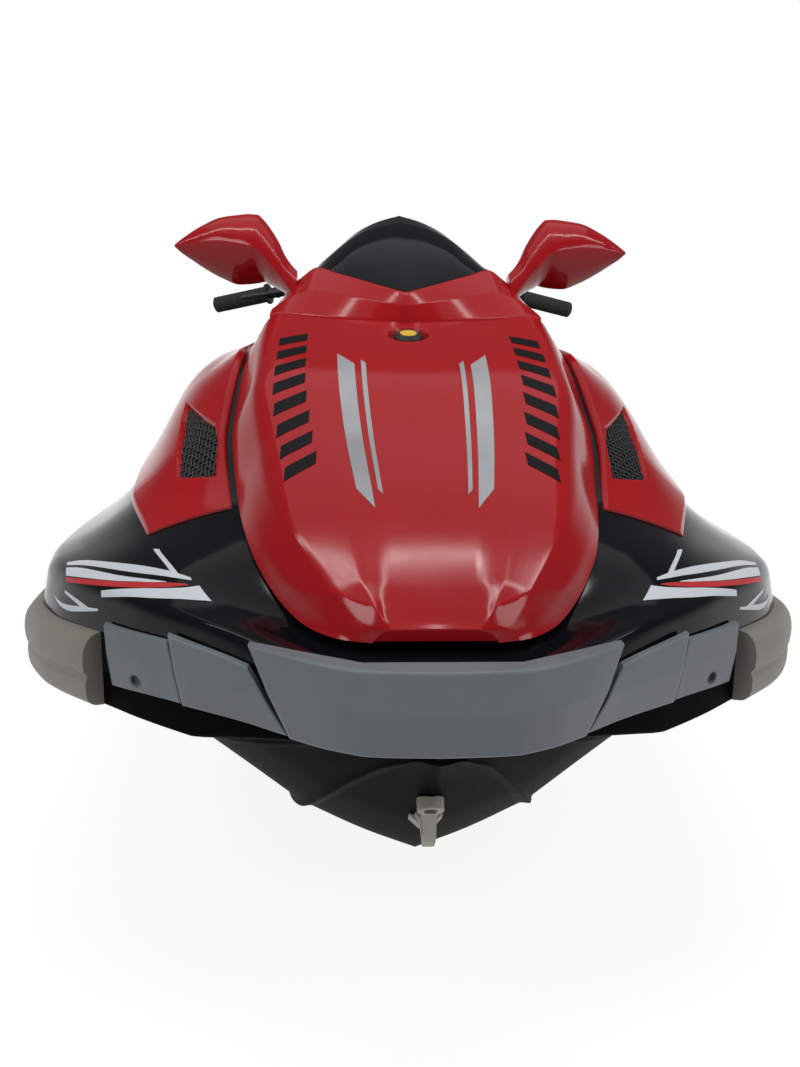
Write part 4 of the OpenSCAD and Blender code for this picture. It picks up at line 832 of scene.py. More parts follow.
    def painted_shade_sheet(self, side: Side) -> Piece:
        """Sheet of painted shade under the weave, dark where the opening behind the mesh lies in shade, ruled
        along X between the vent's two ends at each half width.
        """
        x, rows = np.arange(self.panel_mid, self.panel_fore), []
        for y in np.linspace(VENT_IN + self.shade_sheet_edge, VENT_OUTER - self.shade_sheet_edge, 40):
            line = self.slope(x, np.full_like(x, y))
            inside = x[self.inside_vent(line[:, 1], line[:, 2]) > -self.shade_sheet_edge]
            rows.append(self.slope(np.linspace(inside[0], inside[-1], 60), np.full(60, y)))
        sheets = [flip(np.stack(rows) + rise * VENT_OUT, side) for rise in self.shade_sheet_rise]
        return shell(f"vent_painted_shade_{side.word}", *sheets, sharp=60.0)

    def panel(self, side: Side) -> Piece:
        """Side panel: a skin set off the deck's slope, thinned towards its ends and sunk where the vent is."""
        x = stations((self.panel_aft, self.panel_mid, 4.0), (self.panel_mid, self.panel_fore, 2.5))
        line = finer(deck_half(x)[:, OUT_AT + 3 : SLOPE_END], 2.5)
        ends = np.minimum((self.panel_fore - x) / self.thin_fore, (x - self.panel_aft) / self.thin_aft)
        taper = np.minimum(1, self.thin + ends)[:, None]
        depth = np.where(x[:, None] > self.panel_mid, self.inside_vent(line[..., 0], line[..., 1]), -1.0)
        rise = (self.panel_wall - SEAT_GAP) * taper * (1 - smooth(depth / self.vent_wall))
        count = np.arange(line.shape[1])
        edge = np.minimum(count, count[::-1])[None] / self.panel_edge
        rise = np.maximum(rise * np.sqrt(np.clip(edge, 0.04, 1)), self.panel_least)
        sheets = [flip(across_x(x, beside(line, SEAT_GAP + d)), side) for d in (rise, 0 * rise)]
        return shell(f"panel_skin_{side.word}", *sheets, sharp=40.0)


@dataclass(frozen=True)
class Stripe:
    """Stripe on the shoulder: its finish and two edges of (station, length along the deck's half section)."""

    name: str
    finish: str
    upper: tuple
    lower: tuple


STRIPES = (
    Stripe("band", "decal_white",
           ((1208, 77), (1221, 96), (1247, 109), (1273, 119), (1298, 126),
            (1321, 130), (1344, 132), (1364, 134), (1380, 137)),
           ((1222, 73), (1243, 88), (1269, 98), (1297, 104), (1321, 108),
            (1342, 112), (1359, 117), (1374, 123), (1385, 132))),
    Stripe("stroke", "decal_white",
           ((1282, 172), (1324, 152), (1360, 131)), ((1290, 175), (1335, 152), (1372, 131))),
    Stripe("taper", "decal_white",
           ((1231, 69), (1253, 83), (1286, 90), (1318, 93), (1341, 97), (1360, 102), (1376, 109)),
           ((1257, 58), (1291, 65), (1314, 72), (1334, 79), (1351, 88), (1366, 96), (1377, 108))),
    Stripe("red", "decal_red",
           ((1259, 56), (1294, 63), (1318, 71), (1338, 79), (1355, 88), (1369, 98), (1380, 110), (1391, 122)),
           ((1269, 50), (1305, 55), (1332, 60), (1352, 67), (1368, 76), (1381, 88), (1390, 102), (1393, 120))),
    Stripe("grey", "decal_white",
           ((1339, 53), (1354, 61), (1365, 70), (1375, 80), (1385, 89), (1392, 100), (1397, 113), (1397, 130)),
           ((1346, 44), (1367, 50), (1384, 57), (1399, 64), (1409, 74), (1417, 85), (1424, 96), (1428, 110))),
    Stripe("hook", "decal_white",
           ((1243, 25), (1269, 20), (1293, 21), (1313, 24), (1330, 26), (1347, 28)),
           ((1253, 20), (1276, 14), (1298, 13), (1316, 17), (1333, 21), (1348, 25))),
    Stripe("tick", "decal_white", ((1272, 39), (1305, 33), (1331, 26)), ((1274, 35), (1296, 30), (1316, 24))),
)


@dataclass
class Bumper:
    """Bow bumper: a centre plate and two overlapping plates a side."""

    edge: float = 4.0
    step: float = 8.0
    butt: float = 1.0
    well_radius: float = 8.0
    # y, face x, foot z, top z
    lines: Lines = Lines(((0, 1650, 186, 282), (60, 1645, 186, 282), (115, 1626, 186, 282),
                          (165, 1592, 187, 282), (209, 1555, 187, 281), (311, 1474, 184, 268),
                          (403, 1396, 178, 256), (450, 1352, 174, 250)))
    # Inner and outer y of a plate's top edge, how far each end leans inboard at the foot, fall of its top
    plates: tuple = ((0, 208, 0, 46, 0), (208, 310, 46, 16, 27), (310, 404, 16, 8, 9))
    crease: float = 0.54
    fall_low: float = 0.35
    fall_high: float = 0.25
    # y, z and depth of the screw's well, and the width of its wall
    well: tuple = (358.0, 196.0, 9.0, 2.5)
    # Foot of the centre plate, its height, and the height at which a plate's ends have their written y
    foot_z: float = 186.0
    tall: float = 96.0
    lean_z: float = 281.0
    counts: tuple = (161, 81, 81)

    def back(self, y: Array) -> Array:
        """Station of the bond line at a half width, by straight lines between close stations."""
        x = np.linspace(BOW, 1200, 120)
        return np.interp(np.maximum(y - SEAT_GAP, 0), np.append(0, HULL.at(4, x)), np.append(BOW, x))

    def plate(self, name: str, number: int, side: Side) -> Piece:
        """One plate: its face is creased along its length and rounded back by a quarter circle at the border.

        Over u across and v up the plate, y runs between the two leaning ends and z between foot and top. The
        face falls back from the crease by shares of the plate's depth at foot and top, and along the border by
        edge * (1 - sqrt(1 - q^2)), where q is how far into the edge's width a point lies.

        Args:
            name: Name of the piece.
            number: Row of the plate.
            side: Side that it is on.

        Returns:
            The plate.
        """
        inner_y, outer_y, lean_in, lean_out, fall = self.plates[number]
        ease = np.linspace(0, np.pi, self.counts[number])
        u = (0.5 - 0.5 * np.cos(ease) * (0.85 + 0.15 * np.abs(np.cos(ease))))[:, None]
        v = np.unique(np.append(0.5 - 0.5 * np.cos(np.linspace(0, np.pi, 49)), self.crease))[None]
        lean = (self.foot_z + self.tall * v - self.lean_z) / (self.lean_z - self.foot_z)
        b = outer_y + lean_out * lean
        a = inner_y + self.butt + lean_in * lean if number else -b
        y = a + (b - a) * u
        out = np.abs(y)
        inboard = np.clip((outer_y - out) / (outer_y - inner_y), 0, 1) if number else 0.0 * out
        foot, top = self.lines.at(2, out), self.lines.at(3, out) - fall * inboard
        z = foot + (top - foot) * v
        near = np.minimum(np.minimum(v, 1 - v) * (top - foot), np.minimum(u, 1 - u) * (b - a))
        q = np.clip(1 - near / self.edge, 0, 1)
        back = self.back(out) + SEAT_GAP
        x = self.lines.at(1, out) - self.step * inboard
        fold = np.where(v < self.crease, self.fall_low * (1 - v / self.crease),
                        self.fall_high * (v - self.crease) / (1 - self.crease))
        x = x - fold * (x - back) - self.edge * (1 - np.sqrt(1 - q**2))
        if number == 2:
            well_y, well_z, depth, wall = self.well
            x = x - depth * smooth((self.well_radius - np.hypot(y - well_y, z - well_z)) / wall)
        sheets = [flip(np.stack([d, y, z], axis=-1), side) for d in (np.maximum(x, back + 1), back)]
        return shell(name, *sheets, sharp=50.0)

    def build(self, shop: Paintshop) -> None:
        """Makes the plates and dresses them."""
        centre = self.plate("bumper_plate_centre", 0, Side.PORT)
        shop.dress(centre, "bumper_plastic", stands_for=("bumper_centre",))
        for side in Side:
            for number in (1, 2):
                plate = self.plate(f"bumper_plate_{side.word}_{number}", number, side)
                shop.dress(plate, "bumper_plastic", stands_for=(f"bumper_{side.word}",))


@dataclass
class Hood:
    """Hinged hood with its dished latch recess."""

    wall: float = 4.0
    gap: float = 6.0
    rear: float = 850.0
    tip: float = 1522.0
    skirt_from: float = 1400.0
    skirt_lift: float = 8.0
    # Radii of a half section's corners at the back and at the nose, then where and over what run they change
    round_back: tuple = (0, 26, 7, 0)
    round_nose: tuple = (0, 7, 4, 0)
    nose_from: float = 1240.0
    nose_run: float = 180.0
    knob: tuple = (905.0, 614.3)
    knob_tilt: float = 19.35
    dish_radius: float = 35.0
    dish_floor: float = 25.5
    dish_depth: float = 18.0
    bar_from: float = 925.0
    bar_pitch: float = 46.0
    bar_wide: float = 26.0
    bar_slant: float = 22.0
    bar_count: int = 8
    # Ends of the bars as shares of the way from crease to shoulder
    bar_ends: tuple = (0.22, 0.74)
    # Stations of the silver stripes, and their edges as shares of the crease's half width
    silver: tuple = ((1000, 1330, 0.62, 0.8), (1020, 1330, 0.5, 0.55))
    # Slant of a stripe's ends for its width, with the width as such a share
    silver_slant: float = 34 / 0.18
    lip_lift: float = 2.5
    lip_tall: float = 10.0
    lip_bulge: float = 0.5
    rear_room: float = 6.0
    rear_drop: float = 12.0
    rear_bulge: float = 2.0
    brow_rise: float = 8.0
    brow_run: float = 45.0
    # Half widths between which the brow grows, and its fade from the skirt
    brow_from: float = 48.0
    brow_full: float = 72.0
    brow_fade: float = 14.0
    brow_way: tuple = (0.35, 0.0, 0.94)
    # y, station of the crease across the nose, room from there to the edge
    brow_lines: Lines = Lines(((0, 1522, 8), (57, 1516, 8), (70, 1503, 19), (95, 1488, 28), (120, 1470, 31),
                               (153, 1444, 22), (190, 1410, 15)))
    # Station, centre z, crease y and z, shoulder y and z, skirt y
    lines: Lines = Lines((
        (850, 634, 150, 640, 232, 650, 267), (1050, 560, 146, 563, 236, 557, 277),
        (1200, 482, 132, 485, 214, 471, 257), (1350, 408, 108, 409, 178, 392, 223),
        (1470, 330, 85, 331, 116, 318, 150), (1500, 308, 70, 308, 92, 300, 122),
        (1514, 297, 61, 297, 76, 292, 100), (1522, 292, 55, 291, 62, 288, 72)))

    def skirt(self, x: Array) -> Array:
        """Height of the skirt's edge: the deck's rim plus the gap, lifted towards the lip."""
        along = np.clip((x - self.skirt_from) / (self.tip - self.skirt_from), 0, 1)
        return DECK.at(EDGE_Z, x) + self.gap + self.skirt_lift * along

    def half(self, x: Array) -> Array:
        """Half sections of the outer face, from the skirt over shoulder and crease to the centre."""
        c = [self.lines.at(i, x) for i in range(7)]
        corners = [(c[6], self.skirt(x)), (c[4], c[5]), (c[2], c[3]), (np.zeros_like(x), c[1])]
        back, crisp = (rounded(corners, radii, 8) for radii in (self.round_back, self.round_nose))
        nose = smooth((x - self.nose_from) / self.nose_run)[:, None, None]
        return finer(back * (1 - nose) + crisp * nose, 5.0)

    def brow(self, points: Array) -> Array:
        """Raises the crease across the nose, outside the centre panel.

        With t the distance ahead of the crease, s the room from there to the edge and r the brow's run, a point
        rises by h exp(t / r) behind the crease and by h (1 - t / s) ahead of it.

        Args:
            points: Points of the outer face.

        Returns:
            The points with the nose's two lobes raised.
        """
        out = np.abs(points[..., 1])
        start, room = self.brow_lines.at(1, out), self.brow_lines.at(2, out)
        t = points[..., 0] - start
        rise = np.where(t < 0, np.exp(np.minimum(t, 0) / self.brow_run), np.clip(1 - t / room, 0, 1))
        grow = smooth((out - self.brow_from) / (self.brow_full - self.brow_from))
        fade = smooth((self.lines.at(6, points[..., 0]) - out) / self.brow_fade)
        return points + (rise * self.brow_rise * grow * fade)[..., None] * np.array(self.brow_way)

    def top(self, x: Array, y: Array) -> Array:
        """Points of the outer face at stations x and half widths y."""
        halves = self.half(x.ravel())[:, ::-1]
        z = [np.interp(b, half[:, 0], half[:, 1]) for b, half in zip(np.abs(y.ravel()), halves)]
        return self.brow(np.stack([x, y, np.reshape(z, x.shape)], axis=-1))

    def bars(self, shop: Paintshop, side: Side) -> None:
        """Slanted black bars along the shoulder and two even silver stripes beside the centre."""
        for number in range(self.bar_count):
            x = self.bar_from + self.bar_pitch * number
            fold, edge = (float(self.lines.at(c, np.array(x))) for c in (2, 4))
            ends = [side.value * (fold + (edge - fold) * share) for share in self.bar_ends]
            upper, lower = (tuple(zip((u, u + self.bar_slant), ends)) for u in (x, x + self.bar_wide))
            film = ribbon(f"hood_bar_{side.word}_{number + 1}", self.top, upper, lower)
            shop.dress(film, "decal_black", Body.HOOD)
        for number, (start, end, inner, outer) in enumerate(self.silver):
            x = np.linspace(start, end, 7)
            upper, lower = (np.stack([u, side.value * share * self.lines.at(2, u)], axis=-1)
                            for u, share in ((x, outer), (x + self.silver_slant * (outer - inner), inner)))
            film = ribbon(f"hood_stripe_{side.word}_{number + 1}", self.top, upper, lower)
            shop.dress(film, "decal_silver", Body.HOOD)

    def dish(self, points: Array) -> Array:
        """Sinks the latch recess: points within its rim drop along its axis, down a smooth wall to a floor."""
        tilt = radians(self.knob_tilt)
        axis, along = np.array([sin(tilt), 0, cos(tilt)]), np.array([cos(tilt), 0, -sin(tilt)])
        away = points - np.array([self.knob[0], 0, self.knob[1]])
        r = np.hypot(away @ along, away[..., 1])
        drop = smooth((self.dish_radius - r) / (self.dish_radius - self.dish_floor))
        flat = axis * (away @ axis)[..., None]
        return points - drop[..., None] * (flat + self.dish_depth * axis)

    def build(self, shop: Paintshop) -> None:
        """Makes the hood as a thin shell whose ends turn down at the cowl and at the lip."""
        x = stations((self.rear, 866, 4), (866, 944, 1.7), (944, 1400, 8), (1400, 1500, 5),
                     (1500, self.tip, 1.5))
        half = self.half(x)
        outer = self.brow(across_x(x, np.concatenate([half, half[:, -2::-1] * OTHER_HALF], axis=1)))
        turn = np.linspace(0, 1, 7)[1:, None, None]
        swell = np.sin(np.pi / 2 * turn)
        forward = np.array([1.0, 0.0, 0.0])
        foot = self.skirt(np.array([self.tip]))[0] + self.lip_lift
        drop = outer[-1:] * [1, 1, 0] + UPWARD * np.minimum(outer[-1:, :, 2:], foot)
        tall = np.clip((outer[-1:] - drop)[..., 2:] / self.lip_tall, 0, 1)
        lip = outer[-1:] + (drop - outer[-1:]) * turn + forward * (self.lip_bulge * tall * np.sqrt(swell))
        back = outer[:1] - UPWARD * (self.rear_drop * turn[::-1]) - forward * (self.rear_bulge * swell[::-1])
        back[..., 2] = np.maximum(back[..., 2], DECK.at(EDGE_Z, np.array(self.rear)) + self.rear_room)
        outer = self.dish(np.concatenate([back, outer, lip]))
        normal = unit(np.cross(np.gradient(outer, axis=0), np.gradient(outer, axis=1)))
        normal *= np.sign(normal[..., 2:] + 1e-6).mean()
        piece = shell("hood_skin", outer, outer - normal * self.wall, sharp=40.0)
        shop.dress(piece, "red_gelcoat", Body.HOOD, ("hood", "latch_cup"))
        for side in Side:
            self.bars(shop, side)


@dataclass
class Cowl:
    """Cowl behind the hood with the windscreen on its crest."""

    front: float = 844.0
    aft: float = 650.0
    low: float = 500.0
    land: float = 16.0
    crease_at: float = 0.52
    crease_out: float = 5.0
    half_width: float = 236.0
    crest_end: float = 157.0
    round_corners: tuple = (0, 0, 8, 5, 6, 2.5, 6, 0)
    # The windscreen: the way from its back to its face, its foot's place behind the crest, how far it bulges and
    # its rim folds, where the fold starts and over what width the bulge fades at the ends
    screen_wall: tuple = (4.5, 0.0, 2.25)
    screen_foot: float = 4.0
    bulge: tuple = (9.0, 0.0, 7.0)
    roll: tuple = (-10.0, 0.0, -2.0)
    roll_from: float = 0.85
    bulge_fade: float = 60.0
    # y, seam z, crest x and z, z at the back
    lines: Lines = Lines((
        (0, 634, 820, 687, 655), (40, 636, 796, 698, 664), (80, 638, 771, 710, 674),
        (120, 640, 744, 722, 684), (157, 642, 720, 733, 692), (185, 645, 724, 716, 680),
        (212, 648, 734, 688, 660), (236, 646, 745, 656, 640)))
    # y, rim x and z
    rim: Lines = Lines(((0, 550, 848), (40, 568, 835), (80, 590, 814), (120, 617, 780), (157, 652, 742)))

    def build(self, shop: Paintshop) -> None:
        """Makes the cowl and the windscreen."""
        marks = [-self.crest_end, self.crest_end]
        y = np.unique(np.concatenate([np.linspace(-self.half_width, self.half_width, 237), marks]))
        o, c = np.zeros_like(y), [self.lines.at(i, np.abs(y)) for i in range(5)]
        run, fall = self.front - c[2], c[3] - c[1]
        out = self.crease_out / np.hypot(run, fall)
        crease = (c[2] + run * self.crease_at + fall * out, c[3] - fall * self.crease_at + run * out)
        front, aft, low = self.front + o, self.aft + o, self.low + o
        corners = [(front, low), (aft, low), (aft, c[4]), (c[2] - self.land, c[3]), (c[2], c[3]), crease,
                   (front, c[1]), (front, low)]
        loops = across_y(y, rounded(corners, self.round_corners, 5)[:, :-1])
        shop.dress(loft("cowl_skin", loops, sharp=40.0), "red_gelcoat", stands_for=("cowl",))
        shop.dress(self.screen(), "smoked_screen", stands_for=("windscreen",))

    def screen(self) -> Piece:
        """Windscreen: straight lines from crest to rim, bulged by 4v(1-v), with the rim folded back."""
        y = np.linspace(-self.crest_end, self.crest_end, 121)[:, None]
        v = np.unique(np.append(np.linspace(0, 1, 49), self.roll_from))[None, :, None]
        out = np.abs(y)
        foot, seat = self.lines.at(2, out) - self.screen_foot, self.lines.at(3, out) + SEAT_GAP
        base = np.stack([foot, y, seat], axis=-1)
        rim = np.stack([self.rim.at(1, out), y, self.rim.at(2, out)], axis=-1)
        bulge = 4 * v * (1 - v) * smooth((self.crest_end - out) / self.bulge_fade)[..., None]
        roll = np.clip((v - self.roll_from) / (1 - self.roll_from), 0, 1)
        face = base + (rim - base) * v + bulge * np.array(self.bulge) + roll * np.array(self.roll)
        rear = face - np.array(self.screen_wall)
        return shell("screen_sheet", face, rear)


@dataclass
class Seat:
    """Two-piece saddle: crowned cushions with sewn channels."""

    name: str
    node: str
    height: float
    fill: float
    rows: Lines
    channels: tuple
    channel_depth: float = 5.0
    channel_width: float = 7.0
    end_length: float = 34.0
    round_corners: tuple = (0, 6, 50, 60, 0)

    def build(self, shop: Paintshop) -> None:
        """Makes the cushion: rounded sections over the deck's top, pinched across channels.

        A channel of depth d and width w at station c pinches the cushion by d exp(-((x - c) / w)^2); the ends
        are rounded down on a quarter ellipse.
        """
        first, last = self.rows.rows[0][0], self.rows.rows[-1][0]
        x = stations((first, first + 40, 3), (first + 40, last - 40, 6), (last - 40, last, 3))
        base, wide, top, rise = (self.rows.at(c, x) for c in range(1, 5))
        mid = DECK.at(TOP_Z, x) + SEAT_GAP
        low = mid + (DECK.at(EDGE_Z, x) - DECK.at(TOP_Z, x)) * base / DECK.at(EDGE_Y, x)
        near = np.minimum(x - first, last - x)
        end = np.sqrt(1 - np.clip(1 - (near + 2) / self.end_length, 0, 1) ** 2)
        pinch = sum(self.channel_depth * np.exp(-(((x - c) / self.channel_width) ** 2)) for c in self.channels)
        high = mid + self.height * rise * (0.55 + 0.45 * end) - pinch
        o = np.zeros_like(x)
        corners = [(o, mid), (base, low), (wide * (0.93 + 0.07 * end), low + (high - low) * 0.42),
                   (top * (0.86 + 0.14 * end), high - (high - low) * 0.08), (o, high)]
        half = finer(rounded(corners, self.round_corners, 10), 9.0)
        piece = loft(self.name, across_x(x, both_sides(half)), sharp=60.0)
        shop.dress(piece, "seat_vinyl", stands_for=(self.node,))


# Station, half width at the base, greatest half width, half width of the top, share of the full height
SEATS = (
    Seat("saddle_front", "seat_front", 150.0, 0.9, Lines((
        (-340, 140, 196, 150, 1.18), (-300, 140, 196, 156, 1.16), (-100, 140, 188, 148, 1.02),
        (100, 140, 170, 126, 0.95), (220, 140, 160, 112, 0.97), (275, 136, 152, 96, 1.0),
        (300, 130, 140, 80, 0.9))),
        (-210.0, -70.0, 70.0, 190.0)),
    Seat("saddle_rear", "seat_rear", 205.0, 0.9, Lines((
        (-1120, 130, 170, 120, 0.86), (-1090, 136, 182, 140, 0.96), (-900, 140, 190, 156, 1.0),
        (-700, 140, 194, 158, 0.97), (-500, 140, 196, 156, 1.0), (-400, 140, 196, 150, 1.05),
        (-350, 140, 194, 140, 0.98))),
        (-960.0, -820.0, -680.0, -540.0)),
)


@dataclass
class Mirrors:
    """Mirror pods: leaf-shaped shells with a ridge along the front and an arm down to the cowl."""

    ease: float = 5.0
    bulge: float = 0.12
    edge: float = 5.0
    edge_share: float = 0.2
    ridge_ease: float = 4.0
    back_ease: float = 3.0
    # y, then z of the outline's foot and top and its x, x and z of the ridge, x of the back
    lines: Lines = Lines((
        (190, 664, 721, 728, 757, 676, 708), (205, 676, 737, 724, 756, 689, 698),
        (217, 685, 754, 716, 755, 705, 690), (228, 692, 777, 705, 753, 719, 680),
        (247, 701, 806, 692, 750, 741, 662), (257, 706, 818, 686, 748, 752, 654),
        (269, 704, 828, 681, 745, 763, 645), (285, 702, 829, 680, 741, 767, 645),
        (305, 701, 827, 680, 734, 771, 645), (337, 712, 822, 680, 724, 775, 645),
        (372, 731, 806, 682, 712, 774, 645), (390, 743, 795, 684, 705, 772, 651),
        (409, 756, 781, 688, 698, 770, 668), (421, 767, 771, 690, 693, 769, 684)))

    def face(self, p: Array, q: Array) -> list[Array]:
        """Points from p to q on a curve that leaves their line by a share of its length at the middle."""
        square = np.stack([q[..., 1] - p[..., 1], p[..., 0] - q[..., 0]], axis=-1)
        middle = (p + q) / 2 + 2 * self.bulge * square
        return [p * (1 - t) ** 2 + middle * 2 * t * (1 - t) + q * t**2 for t in np.linspace(0, 1, 9)[1:-1]]

    def build(self, shop: Paintshop) -> None:
        """Lofts each pod across Y."""
        y = stations((194, 409, 2.5), (409, 421, 1.0))
        c = [self.lines.at(i, y) for i in range(7)]
        edge = np.minimum(self.edge, (c[2] - c[1]) * self.edge_share)
        low, high, ridge = (np.stack(p, axis=-1) for p in ((c[3], c[1]), (c[3], c[2]), (c[4], c[5])))
        back_low, back_high = (np.stack([c[6], z], axis=-1) for z in (c[1] + edge, c[2] - edge))
        middle = (back_low + back_high) / 2
        over, under = self.face(ridge, high)[::-1], self.face(low, ridge)[::-1]
        ring = [middle, back_high, high, *over, ridge, *under, low, back_low, middle]
        radii = (0, self.back_ease, self.ease, *[0] * len(over), self.ridge_ease, *[0] * len(under), self.ease,
                 self.back_ease, 0)
        loops = across_y(y, soft(np.stack(ring, axis=1), radii, 5)[:, :-1])
        for side in Side:
            pod = loft(f"mirror_pod_{side.word}", flip(loops, side), sharp=35.0)
            shop.dress(pod, "red_gelcoat", stands_for=(f"mirror_{side.word}",))


@dataclass
class Grips:
    """Ribbed rubber grips on the bar's ends."""

    inner: tuple = (400.0, 254.0, 700.0)
    outer: tuple = (350.0, 392.0, 672.0)
    length: float = 130.0
    cap: float = 6.0
    radius: float = 17.0
    rib: float = 1.4
    pitch: float = 7.0
    flange: float = 5.0
    flange_wide: float = 6.0
    flange_round: float = 2.0
    cap_round: float = 7.0

    def build(self, shop: Paintshop) -> None:
        """Turns each grip: ribs that follow |sin|, a flange at the inner end and a round cap outside."""
        a, b = np.array(self.inner), np.array(self.outer)
        ahead, reach = unit(b - a), float(np.linalg.norm(b - a))
        s = np.linspace(reach - self.length, reach + self.cap, 240)
        from_start = s - s[0]
        r = self.radius - self.rib * (1 - np.abs(np.sin(np.pi * from_start / self.pitch)) ** 0.6)
        round_off = self.flange_round * np.abs(2 * from_start / self.flange_wide - 1) ** 4
        r = np.where(from_start < self.flange_wide, self.radius + self.flange - round_off, r)
        r = r * np.sqrt(np.clip((s[-1] - s + 0.4) / self.cap_round, 0.02, 1))
        right = unit(np.cross(ahead, UPWARD))
        up = np.cross(right, ahead)
        t = np.linspace(0, 2 * np.pi, 40, endpoint=False)[None, :, None]
        loops = a + ahead * s[:, None, None] + r[:, None, None] * (np.cos(t) * right + np.sin(t) * up)
        for side in Side:
            grip = loft(f"grip_ribbed_{side.word}", flip(loops, side), sharp=60.0)
            shop.dress(grip, "grip_rubber", Body.HANDLEBAR, ("grips",))


@dataclass
class Mats:
    """Ridged foam mats in the footwells."""

    inner: float = 280.0
    outer: float = 400.0
    aft: float = -900.0
    fore: float = 300.0
    height: float = 6.0
    ridge: float = 1.6
    ridge_pitch: float = 22.0
    groove: float = 1.8
    columns: int = 25

    def build(self, shop: Paintshop) -> None:
        """Lays each mat: a sheet with ridges across it that follow sin^2(pi x / pitch)."""
        x = stations((self.aft, self.fore, 2.75))
        y = np.linspace(self.inner, self.outer, self.columns)
        floor = [DECK.at(i, x)[:, None] for i in range(12)]
        low = floor[5] + (floor[7] - floor[5]) * (y[None] - floor[4]) / (floor[6] - floor[4]) + SEAT_GAP
        count = np.arange(self.columns)
        wave = np.sin(np.pi * x / self.ridge_pitch)[:, None] ** 2
        fade = smooth((np.minimum(count, count[::-1])[None] - 2) / 3)
        rise = self.height - self.groove + self.ridge * wave * fade
        under = np.stack(np.broadcast_arrays(x[:, None], y[None], low), axis=-1)
        top = under + UPWARD * rise[..., None]
        for side in Side:
            piece = shell(f"mat_ridged_{side.word}", flip(top, side), flip(under, side), sharp=50.0)
            shop.dress(piece, "mat_foam", stands_for=("footwell_mats",))


# Studio


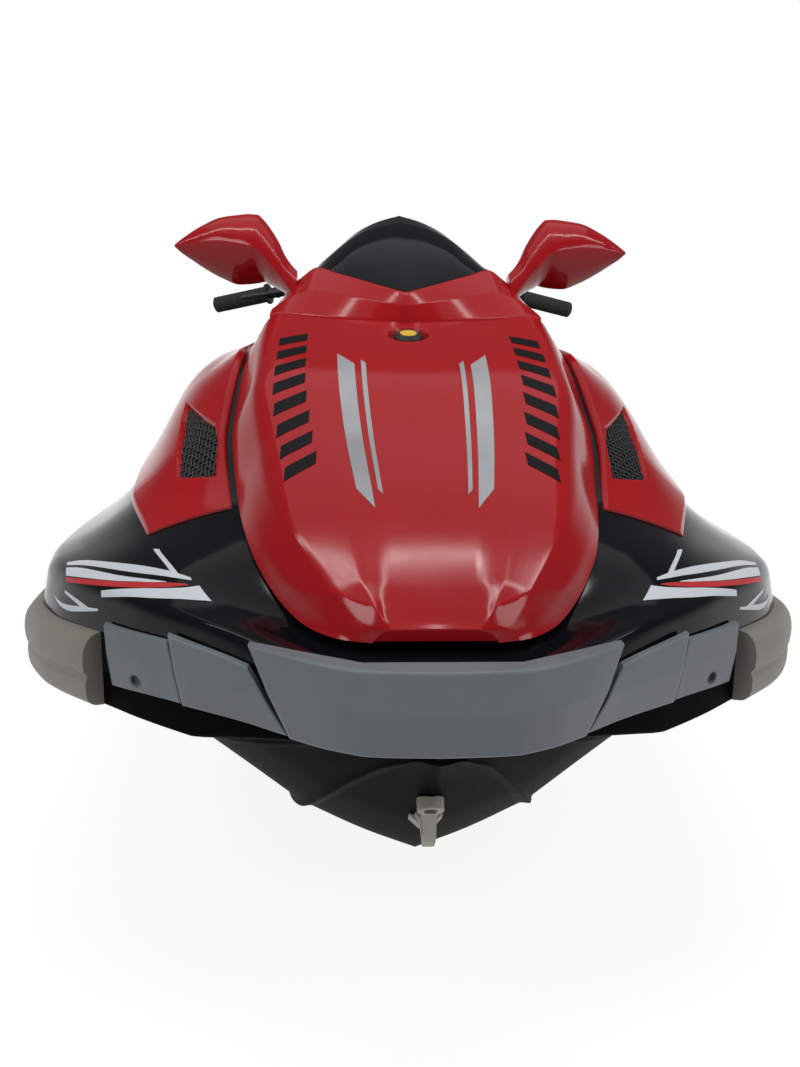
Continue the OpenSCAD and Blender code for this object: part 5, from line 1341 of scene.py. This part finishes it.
@dataclass
class Studio:
    """Pale floor, soft lamps, white surroundings and the camera."""

    floor_z: float = -0.2805
    eye: tuple = (2.559, -0.097, 0.618)
    yaw: float = -3.02
    pitch: float = 11.78
    roll: float = 0.72
    focal: float = 965.4
    image_height: float = 1067.0
    sensor: float = 36.0
    floor_glow: float = 0.7
    floor_white: float = 1.27
    floor_colour: float = 0.55
    floor_radius: float = 9000.0
    floor_grid: tuple = (40, 96)
    # Metres from the craft between which the floor fades
    fade: tuple = (2.0, 6.0)
    # Light of the surroundings; then the heights between which they dim in reflections, and how far
    world_light: float = 0.45
    dim_from: float = 0.02
    dim_to: float = 0.45
    dimmed: float = 0.12
    # Name, place, aim, sides in metres and power in watts
    lamps: tuple = (("key", (3.2, -2.6, 3.2), (0.9, 0, 0.3), (1.6, 1.2), 46),
                    ("fill", (2.6, 2.8, 2.4), (0.9, 0, 0.3), (1.6, 1.2), 32),
                    ("top", (0.2, 0, 4.2), (0.3, 0, 0), (5.0, 4.0), 36),
                    ("strip", (1.0, -1.1, 3.0), (1.0, -0.22, 0.3), (0.12, 2.6), 14),
                    ("strip", (1.0, 1.1, 3.0), (1.0, 0.22, 0.3), (0.12, 2.6), 14))

    @staticmethod
    def stand(name: str, data: bpy.types.ID, place: tuple, ahead: Array, right: Array, up: Array) -> Piece:
        """Puts a camera or lamp into the scene.

        Args:
            name: Name of the object.
            data: Its camera or lamp.
            place: Where it stands.
            ahead: Unit vector that it looks along.
            right: Unit vector to its right.
            up: Unit vector to its top.

        Returns:
            The object.
        """
        matrix = np.eye(4)
        matrix[:3] = np.stack([right, up, -ahead, np.array(place, float)], axis=-1)
        thing = bpy.data.objects.new(name, data)
        thing.matrix_world = Matrix(matrix.tolist())
        bpy.context.scene.collection.objects.link(thing)
        return thing

    @staticmethod
    def seen(nodes: Nodes) -> Socket:
        """1 for rays of the camera, of reflections and of glass, 0 for light."""
        path = nodes.add("LightPath")
        glass = nodes.math("MAXIMUM", path.outputs["Is Glossy Ray"], path.outputs["Is Transmission Ray"])
        return nodes.math("MAXIMUM", path.outputs["Is Camera Ray"], glass)

    def camera(self) -> None:
        """Camera at the picture's place, from its yaw, pitch, roll and focal length in pixels."""
        data = bpy.data.cameras.new("camera")
        data.sensor_width = self.sensor
        data.lens = self.focal * self.sensor / self.image_height
        data.clip_start = 0.01
        turns = map(radians, (self.yaw, self.pitch, self.roll))
        (cy, sy), (cp, sp), (cr, sr) = ((cos(a), sin(a)) for a in turns)
        ahead, right = np.array([-cy * cp, -sy * cp, -sp]), np.array([-sy, cy, 0.0])
        up = np.cross(right, ahead)
        turned = (cr * right + sr * up, cr * up - sr * right)
        bpy.context.scene.camera = self.stand("camera", data, self.eye, ahead, *turned)

    def floor(self) -> None:
        """Floor disc whose edge fades into the white surroundings."""
        rings, sides = self.floor_grid
        r = np.linspace(0, self.floor_radius, rings)[:, None]
        a = np.linspace(0, 2 * np.pi, sides, endpoint=False)[None]
        points = np.stack([r * np.cos(a), r * np.sin(a), np.full(self.floor_grid, self.floor_z / MM)], axis=-1)
        piece = make_piece("floor", points.reshape(-1, 3), grid_faces(rings, sides, True).tolist())
        material = bpy.data.materials.new("floor_white")
        material.use_nodes = True
        nodes = Nodes(material.node_tree)
        nodes.tree.nodes.clear()
        away = nodes.add("VectorMath", {"operation": "LENGTH"}, i0=nodes.add("TexCoord").outputs["Object"])
        fade = nodes.add("MapRange", {"interpolation_type": "SMOOTHSTEP"}, Value=away.outputs["Value"],
                         From_Min=self.fade[0], From_Max=self.fade[1])
        white = nodes.add("BsdfDiffuse", Color=rgba((self.floor_colour,) * 3))
        glow = nodes.add("Emission", Color=(1, 1, 1, 1), Strength=self.floor_white)
        share = nodes.math("MULTIPLY", self.seen(nodes), self.floor_glow)
        ground = nodes.add("MixShader", i0=share, i1=white.outputs[0], i2=glow.outputs[0])
        clear = nodes.add("BsdfTransparent")
        mix = nodes.add("MixShader", i0=fade.outputs[0], i1=ground.outputs[0], i2=clear.outputs[0])
        nodes.add("OutputMaterial", Surface=mix.outputs[0])
        piece.data.materials.append(material)

    def lamp(self, name: str, place: tuple, aim: tuple, size: tuple, power: float) -> None:
        """Adds a soft rectangular lamp.

        Args:
            name: Name of the lamp.
            place: Where it stands.
            aim: Point that it faces.
            size: Its two sides.
            power: Its power in watts.
        """
        data = bpy.data.lights.new(name, "AREA")
        data.shape, data.size, data.size_y, data.energy = "RECTANGLE", size[0], size[1], power
        ahead = unit(np.array(aim, float) - np.array(place, float))
        right = unit(np.cross(ahead, UPWARD))
        self.stand(name, data, place, ahead, right, np.cross(right, ahead))

    def world(self) -> None:
        """Surroundings: pale grey as light, white where seen, dimmer overhead for reflections and glass."""
        world = bpy.data.worlds.new("studio")
        bpy.context.scene.world = world
        world.use_nodes = True
        nodes = Nodes(world.node_tree)
        nodes.tree.nodes.clear()
        path = nodes.add("LightPath")
        up = nodes.add("SeparateXYZ", Vector=nodes.add("TexCoord").outputs["Generated"]).outputs[2]
        dim = nodes.add("MapRange", {"interpolation_type": "SMOOTHSTEP"}, Value=up, From_Min=self.dim_from,
                        From_Max=self.dim_to, To_Min=1.0, To_Max=self.dimmed)
        shown = nodes.math("MAXIMUM", path.outputs["Is Camera Ray"], dim.outputs[0])
        strength = nodes.add("Mix", {"data_type": "FLOAT"}, i0=self.seen(nodes), i2=self.world_light, i3=shown)
        back = nodes.add("Background", Color=(1, 1, 1, 1), Strength=strength.outputs[0])
        nodes.add("OutputWorld", Surface=back.outputs[0])

    def build(self) -> None:
        """Sets up the camera, floor, lamps and surroundings."""
        self.camera()
        self.floor()
        for row in self.lamps:
            self.lamp(*row)
        self.world()
        bpy.context.scene.view_settings.view_transform = "Standard"


def main() -> None:
    """Builds the craft's pieces and the studio."""
    logging.basicConfig(level=logging.INFO, format="%(message)s")
    shop = Paintshop()
    shop.dress_nodes()
    shop.soften_casting()
    Studio().build()
    for part in (Hull(), Deck(), Bumper(), Hood(), Cowl(), Mirrors(), Grips(), Mats(), *SEATS):
        part.build(shop)


if __name__ == "__main__":
    main()
